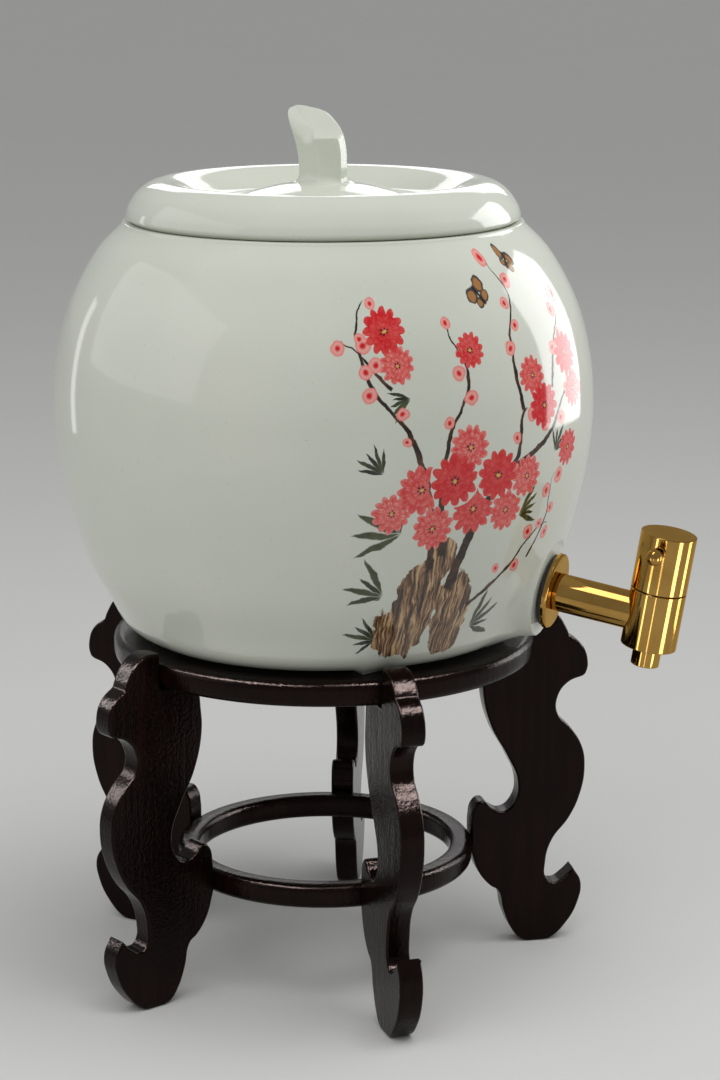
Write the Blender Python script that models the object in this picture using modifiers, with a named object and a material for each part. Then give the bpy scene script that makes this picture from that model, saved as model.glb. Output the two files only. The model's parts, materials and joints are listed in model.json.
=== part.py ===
# Clay water pot with a brass tap, on a five-legged wooden stand.
# Units are metres, +Z is up, the floor is z = 0 and the tap points to -Y.

import math

import bmesh
import bpy
import numpy as np
from mathutils import Matrix, Vector

# Clearances
fit_gap = 0.0003            # between pieces that touch or slide
cut_overrun = 0.002         # how far a cutter runs past the face it opens
weld_distance = 0.00001     # points closer than this become one

# Stand
stand_height = 0.1638       # floor to the top of the ring
ring_outer_radius = 0.0995
ring_width = 0.0375
ring_height = 0.0118
ring_edge_round = 0.0030
leg_thickness = 0.0112
leg_depth = 0.0570          # from the spur's end to the widest point of the leg
leg_edge_chamfer = 0.0011
leg_angles = (-59.0, 14.0, 84.0, 150.0, 218.6)   # hand-set spacing, degrees from +X
leg_lifts = (0.0, 0.0, 0.0, 0.0, 0.0070)         # how much higher each leg's outer edge is carved
stretcher_width = 0.0105
stretcher_height = 0.0116
stretcher_edge_round = 0.0030
stretcher_level_share = 0.325                    # of stand_height
dowel_radius = 0.0025
dowel_leg_depth = 0.0100
dowel_ring_depth = 0.0070

# Pot
pot_radius = 0.1250
pot_height = 0.1925
pot_wall = 0.0060
pot_floor = 0.0070
foot_width = 0.0100
foot_recess = 0.0025
mouth_radius = 0.0780
rim_width = 0.0145          # flat top of the wall round the mouth
rim_round = 0.0018

# Lid
lid_inset = 0.0022          # lid's edge inside the rim's outer edge
lid_thickness = 0.0050
lid_rise = 0.0180           # brim's crest above the pot's rim
lid_collar_depth = 0.0100
lid_collar_wall = 0.0040
lid_collar_clearance = 0.0025
stalk_height = 0.0520       # top of the stalk above the pot's rim
stalk_width = 0.0218
stalk_depth = 0.0180
stalk_lean = 0.0056         # how far the tip leans out past the root
stalk_turn = -69.0          # degrees about +Z

# Boss for the tap
boss_level_share = 0.1404   # height of the bore on the boss's face, of pot_height
boss_stand_off_share = 0.88                      # face's distance from the pot's axis, of pot_radius
boss_face_radius = 0.0220
boss_flare = 0.0060         # how much wider the boss is at its root
boss_reach = 0.0120         # from the face back to the end of the flare
boss_wall = 0.0090          # from the boss's face to the flat seat inside
inner_seat_radius = 0.0175
tap_tilt = 9.3              # degrees that the pipe slopes down

# Tap
shank_radius = 0.0080
pipe_radius = 0.00875
pipe_bore_radius = 0.0045
pipe_spigot_radius = 0.0065
pipe_spigot_length = 0.0040
tube_offset = 0.0505        # from the boss's face to the tube's axis
tube_radius = 0.01275
body_above = 0.01265        # from the pipe's axis up to the seam
body_below = 0.0142         # from the pipe's axis down to the body's underside
cap_height = 0.0265
cap_roof = 0.0030
gasket_thickness = 0.0012
gasket_radius = 0.0165
escutcheon_thickness = 0.0025
escutcheon_radius = 0.0175
inner_gasket_thickness = 0.0020
inner_gasket_radius = 0.0140
washer_thickness = 0.0015
washer_radius = 0.0135
nut_across_flats = 0.0240
nut_thickness = 0.0060
shank_tail = 0.0025         # shank showing past the nut
plug_radius = 0.0070
plug_below = 0.0080         # plug's foot below the pipe's axis
plug_above = 0.0080         # plug's shoulder above the pipe's axis
plug_port_radius = 0.0030
stem_radius = 0.0040
gland_radius = 0.0093
gland_stand_out = 0.0032    # gland nut above the seam
o_ring_wire = 0.0011
o_ring_inset = 0.0024       # ring's centre from the end of the plug
nozzle_radius = 0.0065
nozzle_length = 0.0091
nozzle_bore_radius = 0.0044
nozzle_spigot_radius = 0.0057
nozzle_spigot_length = 0.0045
lever_drop = 0.0063         # lever's axis below the cap's top
lever_radius = 0.0018
lever_reach = 0.0230        # ball's centre from the tube's axis
lever_in_stem = 0.0025
ball_radius = 0.0037
collar_radius = 0.0028
collar_length = 0.0016

# Facets round a full turn
pot_steps = 48
lid_steps = 40
ring_steps = 48
boss_steps = 32
tap_steps = 24
dowel_steps = 12
ball_steps = 18

# Outer wall of the pot from the foot to its widest level: shares of pot_radius and pot_height
pot_lower_shares = (
    (0.640, 0.000), (0.704, 0.012), (0.764, 0.042), (0.806, 0.094), (0.882, 0.187), (0.938, 0.301),
    (0.981, 0.426), (1.000, 0.551),
)
# From there to the rim: shares of the way from the rim out to pot_radius, and of pot_height
pot_upper_shares = ((0.946, 0.681), (0.746, 0.810), (0.377, 0.925), (0.000, 0.992))
# Upper side of the lid from the rounded edge to the middle: shares of lid_radius and lid_rise
lid_top_shares = (
    (0.980, 0.000), (1.000, 0.090), (1.000, 0.200), (0.985, 0.400), (0.945, 0.690), (0.885, 0.910),
    (0.810, 1.000), (0.735, 0.930), (0.665, 0.730), (0.600, 0.540), (0.530, 0.490), (0.450, 0.560),
    (0.340, 0.730), (0.200, 0.880), (0.080, 0.930), (0.000, 0.935),
)
# Stalk seen from the front, from its left root round to its right root:
# shares of half its width, and of its height
stalk_left_shares = ((-1.00, 0.20), (-1.00, 0.47), (-1.09, 0.63))
stalk_tip_shares = ((-0.82, 0.80), (-1.00, 0.92), (-0.93, 0.975), (-0.60, 1.00), (-0.10, 0.99))
stalk_right_shares = ((0.10, 0.93), (0.59, 0.83), (0.86, 0.73), (0.98, 0.60), (1.00, 0.45), (1.00, 0.20))
# Stalk seen from above: shares of half its width (left one widened by the lean) and half its depth
stalk_plan_shares = (
    (-1.00, 0.75), (-1.00, 0.15), (-0.25, -0.85), (0.05, -1.00), (0.75, -1.00), (1.00, -0.70),
    (1.00, 0.75), (0.75, 1.00), (-0.75, 1.00),
)
stalk_cut_shares = (0.72, 1.03)    # height of the slanted cut at the front and the back
# Flare of the boss: shares of boss_reach and of boss_flare
boss_flare_shares = ((0.08, 0.00), (0.30, 0.06), (0.55, 0.26), (0.80, 0.62), (1.00, 1.00))
# Leg outline outside the ring, from the horn down to the foot: shares of leg_depth
# outward from the ring, and of stand_height. The last item tells a corner from a round stretch.
leg_outer_shares = (
    (0.000, 1.029, True), (0.120, 1.030, False), (0.216, 1.013, False), (0.305, 0.968, False),
    (0.335, 0.943, True), (0.440, 0.915, False), (0.493, 0.875, False), (0.481, 0.825, False),
    (0.456, 0.817, True), (0.330, 0.800, False), (0.240, 0.757, False), (0.240, 0.707, False),
    (0.363, 0.658, False), (0.458, 0.603, False), (0.488, 0.535, False), (0.447, 0.450, False),
    (0.356, 0.381, False), (0.207, 0.313, False), (0.153, 0.246, False), (0.168, 0.191, False),
    (0.235, 0.180, False), (0.335, 0.200, False), (0.400, 0.222, True), (0.470, 0.176, False),
    (0.447, 0.115, False), (0.344, 0.049, False), (0.200, 0.004, False), (0.140, 0.000, True),
)
# Where a leg's lift applies: shares of stand_height, and of the lift
leg_lift_shares = ((0.12, 0.0), (0.26, 1.0), (0.94, 1.0), (1.06, 0.0))
# Leg outline inside, from the foot up to the shoulder under the ring
leg_spur_share = -0.505         # end of the spur that meets the stretcher ring
leg_inner_shares = (
    (0.000, 0.000, True), (-0.060, 0.008, False), (-0.137, 0.040, False), (-0.207, 0.097, False),
    (-0.262, 0.165, False), (-0.330, 0.182, False), (-0.430, 0.225, False),
    (leg_spur_share, 0.298, True), (leg_spur_share, 0.383, True),
    (-0.474, 0.432, False), (-0.407, 0.448, False), (-0.323, 0.424, False),
    (-0.225, 0.412, False), (-0.119, 0.445, False), (-0.098, 0.503, False), (-0.184, 0.578, False),
    (-0.335, 0.676, False), (-0.410, 0.782, False), (-0.400, 0.860, False),
)
leg_shoulder_share = -0.380     # inner end of the shoulder, of leg_depth
dowel_place_share = 0.50        # upper dowel's place along the shoulder

# Sizes that follow from those above
ring_inner_radius = ring_outer_radius - ring_width
leg_base_radius = ring_outer_radius + fit_gap
shoulder_level = stand_height - ring_height - fit_gap
stretcher_radius = leg_base_radius + leg_spur_share * leg_depth - fit_gap
stretcher_level = stretcher_level_share * stand_height
pot_level = stand_height + fit_gap
foot_radius = pot_lower_shares[0][0] * pot_radius
rim_radius = mouth_radius + rim_width
lid_radius = rim_radius - lid_inset
shank_hole_radius = shank_radius + fit_gap
plug_bore_radius = plug_radius + 1.3 * fit_gap
gland_seat_radius = gland_radius + 1.3 * fit_gap
seam_level = body_above
cap_foot = seam_level + fit_gap
cap_top = cap_foot + cap_height
stem_top = cap_top - cap_roof - fit_gap
lever_level = cap_top - lever_drop
gasket_front = -fit_gap - gasket_thickness
escutcheon_back = gasket_front - fit_gap
escutcheon_front = escutcheon_back - escutcheon_thickness
pipe_shoulder = escutcheon_front - fit_gap
inner_gasket_back = boss_wall + fit_gap
washer_back = inner_gasket_back + inner_gasket_thickness + fit_gap
nut_back = washer_back + washer_thickness + fit_gap
shank_end = nut_back + nut_thickness + shank_tail


def clear_scene():
    for item in list(bpy.data.objects):
        bpy.data.objects.remove(item, do_unlink=True)


def new_collection(name):
    group = bpy.data.collections.new(name)
    bpy.context.scene.collection.children.link(group)
    return group


def finish_material(name, colour, roughness, metallic=0.0):
    material = bpy.data.materials.new(name)
    material.use_nodes = True
    shader = material.node_tree.nodes["Principled BSDF"]
    shader.inputs["Base Color"].default_value = (*colour, 1.0)
    shader.inputs["Roughness"].default_value = roughness
    shader.inputs["Metallic"].default_value = metallic
    return material


finishes = {
    "glaze": ((0.70, 0.73, 0.68), 0.12, 0.0),
    "lacquer": ((0.028, 0.012, 0.010), 0.22, 0.0),
    "dowel_wood": ((0.42, 0.27, 0.14), 0.60, 0.0),
    "brass": ((0.83, 0.60, 0.24), 0.12, 1.0),
    "seal": ((0.05, 0.05, 0.05), 0.70, 0.0),
    "steel": ((0.62, 0.62, 0.60), 0.30, 1.0),
}


def place(item, group, parent=None, matrix=None):
    group.objects.link(item)
    item.parent = parent
    if matrix is not None:
        item.matrix_local = matrix
    return item


def add_part(name, mesh, finish, parent, matrix=None):
    item = bpy.data.objects.new(name, mesh)
    item.data.materials.append(finish_material(name + "_finish", *finishes[finish]))
    return place(item, parts, parent, matrix)


def add_cutter(name, mesh, parent, matrix=None):
    item = bpy.data.objects.new(name, mesh)
    item.hide_render = True
    item.display_type = "WIRE"
    return place(item, cutters, parent, matrix)


def combine(item, other, operation="DIFFERENCE"):
    step = item.modifiers.new(other.name, "BOOLEAN")
    step.operation = operation
    step.solver = "EXACT"
    step.object = other


def profile_mesh(name, points, closed):
    mesh = bpy.data.meshes.new(name)
    count = len(points)
    edges = [(i, i + 1) for i in range(count - 1)]
    if closed:
        edges.append((count - 1, 0))
    mesh.from_pydata([(radius, 0.0, level) for radius, level in points], edges, [])
    return mesh


def spin(item, steps):
    """Turn the object's profile about its own Z axis."""
    turn = item.modifiers.new("turn", "SCREW")
    turn.steps = steps
    turn.render_steps = steps
    turn.use_merge_vertices = True
    turn.merge_threshold = weld_distance
    turn.use_smooth_shade = True
    return item


def turned_part(name, points, finish, parent, steps, matrix=None, closed=False):
    return spin(add_part(name, profile_mesh(name, points, closed), finish, parent, matrix), steps)


def turned_cutter(name, points, parent, steps, matrix=None, closed=False):
    return spin(add_cutter(name, profile_mesh(name, points, closed), parent, matrix), steps)


def rod_mesh(name, radius, low, high, steps):
    """A plain cylinder along Z from low to high."""
    mesh = bpy.data.meshes.new(name)
    shape = bmesh.new()
    bmesh.ops.create_cone(shape, cap_ends=True, segments=steps, radius1=radius, radius2=radius,
                          depth=high - low)
    bmesh.ops.translate(shape, verts=shape.verts, vec=(0, 0, (low + high) / 2))
    shape.to_mesh(mesh)
    shape.free()
    mesh.shade_smooth()
    mesh.set_sharp_from_angle(angle=math.radians(40))
    return mesh


def ring_points(inner, outer, low, high, edge=0.0):
    """Closed section of a flat ring, with its edges rounded by a chamfer."""
    if edge == 0.0:
        return [(outer, high), (outer, low), (inner, low), (inner, high)]
    return [
        (outer - edge, high), (outer, high - edge), (outer, low + edge), (outer - edge, low),
        (inner + edge, low), (inner, low + edge), (inner, high - edge), (inner + edge, high),
    ]


def smooth_through(points, per_span):
    """Points along a smooth curve through the given ones."""
    row = [Vector(point) for point in points]
    row = [2 * row[0] - row[1]] + row + [2 * row[-1] - row[-2]]
    result = []
    for before, start, end, after in zip(row, row[1:], row[2:], row[3:]):
        for count in range(per_span):
            t = count / per_span
            lean_in = (end - before) / 2
            lean_out = (after - start) / 2
            result.append(
                start * (2 * t**3 - 3 * t**2 + 1) + lean_in * (t**3 - 2 * t**2 + t)
                + end * (3 * t**2 - 2 * t**3) + lean_out * (t**3 - t**2)
            )
    return result + [row[-2]]


def prism_mesh(name, outline, half_depth, resolution=2):
    """A flat outline in the XY plane, made thick along Z. Outline points are (x, y, corner)."""
    curve = bpy.data.curves.new(name, "CURVE")
    curve.dimensions = "2D"
    curve.fill_mode = "BOTH"
    curve.extrude = half_depth
    curve.resolution_u = resolution
    spline = curve.splines.new("BEZIER")
    spline.bezier_points.add(len(outline) - 1)
    for knot, (x, y, corner) in zip(spline.bezier_points, outline):
        knot.co = (x, y, 0.0)
        knot.handle_left_type = "VECTOR" if corner else "AUTO"
        knot.handle_right_type = "VECTOR" if corner else "AUTO"
    spline.use_cyclic_u = True
    guide = bpy.data.objects.new(name, curve)
    cutters.objects.link(guide)
    bpy.context.view_layer.update()
    graph = bpy.context.evaluated_depsgraph_get()
    mesh = bpy.data.meshes.new_from_object(guide.evaluated_get(graph))
    bpy.data.objects.remove(guide, do_unlink=True)
    shape = bmesh.new()
    shape.from_mesh(mesh)
    bmesh.ops.remove_doubles(shape, verts=shape.verts, dist=weld_distance)
    bmesh.ops.recalc_face_normals(shape, faces=shape.faces)
    shape.to_mesh(mesh)
    shape.free()
    mesh.name = name
    return mesh


def about_z(degrees):
    return Matrix.Rotation(math.radians(degrees), 4, "Z")


# Turned pieces lie along Z. These matrices lay them along the pipe or along the lever.
along_pipe = Matrix.Rotation(math.radians(-90), 4, "X")      # local +Z becomes +Y, into the pot
along_lever = Matrix.Rotation(math.radians(-90), 4, "Y")     # local +Z becomes -X


def empty(name, parent=None, matrix=None):
    return place(bpy.data.objects.new(name, None), guides, parent, matrix)


def leg_outline(lift):
    """Outline of a leg: x is the distance from the stand's axis, y is the height."""
    lift_levels, lift_amounts = zip(*leg_lift_shares)

    def point(row, raised):
        level = row[1] * stand_height + raised * float(np.interp(row[1], lift_levels, lift_amounts))
        return (leg_base_radius + row[0] * leg_depth, level, row[2])

    shoulder = leg_base_radius + leg_shoulder_share * leg_depth
    return (
        [(leg_base_radius, shoulder_level, True)]
        + [point(row, lift) for row in leg_outer_shares]
        + [point(row, 0.0) for row in leg_inner_shares]
        + [(shoulder, shoulder_level, True)]
    )


def build_stand(root):
    stand = empty("stand", root)
    ring = turned_part(
        "top_ring",
        ring_points(ring_inner_radius, ring_outer_radius, stand_height - ring_height, stand_height,
                    ring_edge_round),
        "lacquer", stand, ring_steps, closed=True)
    half_stretcher = stretcher_height / 2
    stretcher = turned_part(
        "stretcher_ring",
        ring_points(stretcher_radius - stretcher_width, stretcher_radius,
                    stretcher_level - half_stretcher, stretcher_level + half_stretcher,
                    stretcher_edge_round),
        "lacquer", stand, ring_steps, closed=True)

    upright = Matrix.Rotation(math.radians(90), 4, "X")      # the outline's y becomes height
    upper_place = leg_base_radius + leg_shoulder_share * dowel_place_share * leg_depth
    ring_underside = stand_height - ring_height
    hole_radius = dowel_radius + fit_gap
    lower_start = stretcher_radius - dowel_ring_depth
    lower_end = stretcher_radius + fit_gap + dowel_leg_depth
    radial = Matrix.Rotation(math.radians(90), 4, "Y")       # local +Z becomes +X

    for number, (angle, lift) in enumerate(zip(leg_angles, leg_lifts), start=1):
        turn = about_z(angle)
        board = prism_mesh(f"leg_{number}", leg_outline(lift), leg_thickness / 2)
        leg = add_part(f"leg_{number}", board, "lacquer", stand, turn @ upright)
        edge = leg.modifiers.new("edge", "BEVEL")
        edge.width = leg_edge_chamfer
        edge.segments = 1
        edge.limit_method = "ANGLE"
        edge.angle_limit = math.radians(60)

        at_shoulder = turn @ Matrix.Translation((upper_place, 0, 0))
        upper_low = shoulder_level - dowel_leg_depth
        upper_high = ring_underside + dowel_ring_depth
        upper_hole = add_cutter(
            f"upper_dowel_hole_{number}",
            rod_mesh("upper_hole", hole_radius, upper_low - fit_gap, upper_high + fit_gap, dowel_steps),
            stand, at_shoulder)
        lower_hole = add_cutter(
            f"lower_dowel_hole_{number}",
            rod_mesh("lower_hole", hole_radius, lower_start - fit_gap, lower_end + fit_gap, dowel_steps),
            stand, turn @ Matrix.Translation((0, 0, stretcher_level)) @ radial)
        combine(leg, upper_hole)
        combine(ring, upper_hole)
        combine(leg, lower_hole)
        combine(stretcher, lower_hole)

        add_part(f"upper_dowel_{number}",
                 rod_mesh("upper_dowel", dowel_radius, upper_low, upper_high, dowel_steps),
                 "dowel_wood", stand, at_shoulder)
        add_part(f"lower_dowel_{number}",
                 rod_mesh("lower_dowel", dowel_radius, lower_start, lower_end, dowel_steps),
                 "dowel_wood", stand, turn @ Matrix.Translation((0, 0, stretcher_level)) @ radial)
    return stand


def pot_outer_points():
    """Outer wall from the rim down to the foot."""
    bulge = pot_radius - rim_radius
    wall = [(radius * pot_radius, level * pot_height) for radius, level in pot_lower_shares]
    wall += [(rim_radius + out * bulge, level * pot_height) for out, level in pot_upper_shares]
    return [tuple(point) for point in reversed(smooth_through(wall, 2))]


def pot_inner_points(outer):
    """Cavity wall, one wall thickness inside the outer one, from the shoulder to the floor."""
    inner = []
    for before, here, after in zip(outer[::2], outer[1::2], outer[2::2]):
        along = Vector(after) - Vector(before)
        inward = Vector((along.y, -along.x)).normalized()
        spot = Vector(here) + inward * pot_wall
        if spot.y > 2 * pot_floor and spot.x > mouth_radius + pot_wall:
            inner.append(tuple(spot))
    corner = inner[-1]
    return inner + [(corner[0] - pot_wall, 1.35 * pot_floor), (corner[0] - 2.5 * pot_wall, pot_floor),
                    (0.0, pot_floor)]


def build_pot(root):
    pot_frame = empty("pot_lift", root, Matrix.Translation((0, 0, pot_level)))
    outer = pot_outer_points()
    rim_edge = outer[0]
    body = [(0.0, pot_height), (rim_edge[0] - rim_round, pot_height)] + outer + [(0.0, 0.0)]
    pot = turned_part("pot", body, "glaze", pot_frame, pot_steps)

    bore_level = boss_level_share * pot_height
    face = Matrix.Translation((0, -boss_stand_off_share * pot_radius, bore_level))
    tap_frame = empty("tap_frame", pot_frame, face @ Matrix.Rotation(math.radians(tap_tilt), 4, "X"))

    # The boss runs from its face, at local z = 0, back into the pot
    round_edge = boss_flare_shares[0][0] * boss_reach
    flare = [(boss_face_radius + widen * boss_flare, back * boss_reach)
             for back, widen in boss_flare_shares]
    root_end = 2.2 * boss_reach
    boss_points = [(0.0, 0.0), (boss_face_radius - round_edge, 0.0)] + flare
    boss_points += [(flare[-1][0], root_end), (0.0, root_end)]
    boss = turned_cutter("boss_form", boss_points[::-1], tap_frame, boss_steps, along_pipe)
    combine(pot, boss, "UNION")

    spot_face = add_cutter("boss_face_cut",
                           rod_mesh("boss_face_cut", boss_face_radius, -boss_reach, 0.0, boss_steps),
                           tap_frame, along_pipe)
    combine(pot, spot_face)

    inner = pot_inner_points(outer)
    shoulder = inner[0]
    hollow = [(0.0, pot_height + cut_overrun), (mouth_radius, pot_height + cut_overrun),
              (mouth_radius, pot_height - pot_wall), (shoulder[0] - pot_wall, pot_height - pot_wall)]
    cavity = turned_cutter("pot_cavity", hollow + inner, pot_frame, pot_steps)
    combine(pot, cavity)

    pad = add_cutter("inner_pad_form",
                     rod_mesh("inner_pad", inner_seat_radius, boss_wall / 2, boss_wall, boss_steps),
                     tap_frame, along_pipe)
    combine(pot, pad, "UNION")
    pocket = add_cutter("inner_seat_cut",
                        rod_mesh("inner_seat", inner_seat_radius, boss_wall, 3 * boss_wall, boss_steps),
                        tap_frame, along_pipe)
    combine(pot, pocket)

    bore = add_cutter("tap_bore",
                      rod_mesh("tap_bore", shank_hole_radius, -cut_overrun, boss_wall + cut_overrun,
                               tap_steps),
                      tap_frame, along_pipe)
    combine(pot, bore)
    recess = add_cutter("foot_recess",
                        rod_mesh("foot_recess", foot_radius - foot_width, -cut_overrun, foot_recess,
                                 ring_steps),
                        pot_frame)
    combine(pot, recess)
    return pot_frame, tap_frame


def build_lid(pot_frame):
    lid_frame = empty("lid_lift", pot_frame, Matrix.Translation((0, 0, pot_height + fit_gap)))
    top = [(radius * lid_radius, level * lid_rise) for radius, level in lid_top_shares]
    middle = top[-1]
    collar_outer = mouth_radius - lid_collar_clearance
    collar_inner = collar_outer - lid_collar_wall
    # The underside follows the upper side one lid thickness lower, inside the collar
    under = [(radius, level - lid_thickness) for radius, level in top[::-2][::-1]
             if radius < collar_inner - lid_thickness]
    collar_edge = lid_collar_wall / 4
    points = [middle] + top[-2::-1] + [
        (collar_outer, 0.0),
        (collar_outer, collar_edge - lid_collar_depth),
        (collar_outer - collar_edge, -lid_collar_depth),
        (collar_inner + collar_edge, -lid_collar_depth),
        (collar_inner, collar_edge - lid_collar_depth),
        (collar_inner, top[6][1] - 2 * lid_thickness),
    ] + under
    lid = turned_part("lid", points, "glaze", lid_frame, lid_steps)

    half_width = stalk_width / 2
    lean = stalk_lean
    outline = [(share_x * half_width, share_z * stalk_height, False)
               for share_x, share_z in stalk_left_shares]
    outline += [(share_x * half_width - lean, share_z * stalk_height, False)
                for share_x, share_z in stalk_tip_shares]
    outline += [(share_x * half_width, share_z * stalk_height, False)
                for share_x, share_z in stalk_right_shares]
    outline[0] = (*outline[0][:2], True)
    outline[-1] = (*outline[-1][:2], True)
    turn = about_z(stalk_turn)
    stand_up = Matrix.Rotation(math.radians(90), 4, "X")
    stalk = add_cutter("stalk_form", prism_mesh("stalk_form", outline[::-1], stalk_depth, 2),
                       lid_frame, turn @ stand_up)

    half_depth = stalk_depth / 2
    plan = [(share_x * (half_width + (2 * lean if share_x < 0 else 0.0)), share_y * half_depth, False)
            for share_x, share_y in stalk_plan_shares]
    plan_form = add_cutter("stalk_plan", prism_mesh("stalk_plan", plan, 1.2 * stalk_height, 2),
                           lid_frame, turn)
    combine(stalk, plan_form, "INTERSECT")

    front_cut, back_cut = (share * stalk_height for share in stalk_cut_shares)
    slope = math.atan2(back_cut - front_cut, stalk_depth)
    block = bpy.data.meshes.new("stalk_cut")
    shape = bmesh.new()
    bmesh.ops.create_cube(shape, size=1.0)
    bmesh.ops.scale(shape, verts=shape.verts, vec=(4 * stalk_width, 4 * stalk_depth, stalk_height))
    bmesh.ops.translate(shape, verts=shape.verts, vec=(0, 0, stalk_height / 2))
    shape.to_mesh(block)
    shape.free()
    middle_cut = Matrix.Translation((0, 0, (front_cut + back_cut) / 2))
    slant = add_cutter("stalk_cut", block, lid_frame,
                       turn @ middle_cut @ Matrix.Rotation(slope, 4, "X"))
    combine(stalk, slant)
    combine(lid, stalk, "UNION")
    return lid_frame


def build_tap_mounting(frame):
    """The pieces that clamp the tap to the pot's wall. They lie along the pipe."""
    turned_part("outer_gasket", ring_points(shank_hole_radius, gasket_radius, gasket_front, -fit_gap),
                "seal", frame, boss_steps, along_pipe, closed=True)
    edge = escutcheon_thickness / 3
    turned_part("escutcheon",
                [(escutcheon_radius, escutcheon_back), (escutcheon_radius, escutcheon_front + edge),
                 (escutcheon_radius - edge, escutcheon_front), (shank_hole_radius, escutcheon_front),
                 (shank_hole_radius, escutcheon_back)],
                "brass", frame, boss_steps, along_pipe, closed=True)
    turned_part("inner_gasket",
                ring_points(shank_hole_radius, inner_gasket_radius, inner_gasket_back,
                            inner_gasket_back + inner_gasket_thickness),
                "seal", frame, tap_steps, along_pipe, closed=True)
    turned_part("inner_washer",
                ring_points(shank_hole_radius, washer_radius, washer_back, washer_back + washer_thickness),
                "steel", frame, tap_steps, along_pipe, closed=True)
    nut = add_part("lock_nut",
                   rod_mesh("lock_nut", nut_across_flats / math.sqrt(3), nut_back,
                            nut_back + nut_thickness, 6),
                   "brass", frame, along_pipe)
    nut_hole = add_cutter("lock_nut_hole",
                          rod_mesh("lock_nut_hole", shank_hole_radius, nut_back - cut_overrun,
                                   nut_back + nut_thickness + cut_overrun, tap_steps),
                          frame, along_pipe)
    combine(nut, nut_hole)


def build_inlet_pipe(frame, tube_frame):
    # The pipe's points run along local z, from the tube at negative z to the shank's end in the pot
    spigot_face = -tube_offset + tube_radius - pipe_spigot_length
    saddle_reach = -tube_offset + tube_radius / 3
    pipe = turned_part(
        "inlet_pipe",
        [(shank_radius, shank_end), (shank_radius, pipe_shoulder), (pipe_radius, pipe_shoulder),
         (pipe_radius, saddle_reach), (pipe_bore_radius, saddle_reach), (pipe_bore_radius, shank_end)],
        "brass", frame, tap_steps, along_pipe, closed=True)
    # The saddle clears the round tube but leaves the spigot that enters its socket
    saddle = add_cutter("pipe_saddle_cut",
                        rod_mesh("pipe_saddle", tube_radius + fit_gap, -2 * body_below, 2 * body_below,
                                 boss_steps),
                        tube_frame)
    spigot_keep = turned_cutter(
        "spigot_clearance",
        ring_points(pipe_bore_radius / 2, pipe_spigot_radius, -tube_offset, 0.0),
        frame, tap_steps, along_pipe, closed=True)
    combine(saddle, spigot_keep)
    combine(pipe, saddle)
    end_cut = add_cutter("spigot_end_cut",
                         rod_mesh("spigot_end", pipe_radius, -tube_offset, spigot_face, tap_steps),
                         frame, along_pipe)
    combine(pipe, end_cut)


def build_tap_body(frame, tube_frame):
    socket_bottom = tube_radius - pipe_spigot_length - 2 * fit_gap
    nozzle_seat = -body_below + nozzle_spigot_length + fit_gap
    edge = fit_gap * 2
    body = turned_part(
        "valve_body",
        [(gland_seat_radius, seam_level), (tube_radius, seam_level), (tube_radius, edge - body_below),
         (tube_radius - edge, -body_below), (nozzle_spigot_radius + fit_gap, -body_below),
         (nozzle_spigot_radius + fit_gap, nozzle_seat), (plug_port_radius, nozzle_seat),
         (plug_port_radius, -plug_below - fit_gap), (plug_bore_radius, -plug_below - fit_gap),
         (plug_bore_radius, plug_above), (gland_seat_radius, plug_above)],
        "brass", tube_frame, boss_steps, closed=True)
    socket = add_cutter("pipe_socket",
                        rod_mesh("pipe_socket", pipe_spigot_radius + fit_gap, socket_bottom,
                                 2 * tube_radius, tap_steps),
                        tube_frame, along_pipe)
    inlet = add_cutter("inlet_port",
                       rod_mesh("inlet_port", plug_port_radius, plug_radius / 2, tube_radius, tap_steps),
                       tube_frame, along_pipe)
    combine(body, socket)
    combine(body, inlet)

    spigot_top = nozzle_seat - fit_gap
    turned_part(
        "nozzle",
        [(nozzle_spigot_radius, spigot_top), (nozzle_spigot_radius, -body_below - fit_gap),
         (nozzle_radius, -body_below - fit_gap), (nozzle_radius, edge - body_below - nozzle_length),
         (nozzle_radius - edge, -body_below - nozzle_length),
         (nozzle_bore_radius, -body_below - nozzle_length), (nozzle_bore_radius, spigot_top)],
        "brass", tube_frame, tap_steps, closed=True)

    gland_top = seam_level + gland_stand_out
    turned_part(
        "gland_nut",
        ring_points(stem_radius + fit_gap, gland_radius, plug_above + fit_gap, gland_top),
        "brass", tube_frame, tap_steps, closed=True)


def ring_wire(name, parent, level):
    """A rubber ring in its groove round the plug, its centre at the given level."""
    half_wire = o_ring_wire / 2
    middle = plug_radius - half_wire
    section = [(middle + half_wire, level), (middle, level - half_wire),
               (middle - half_wire, level), (middle, level + half_wire)]
    turned_part(name, section, "seal", parent, tap_steps, closed=True)


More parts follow.
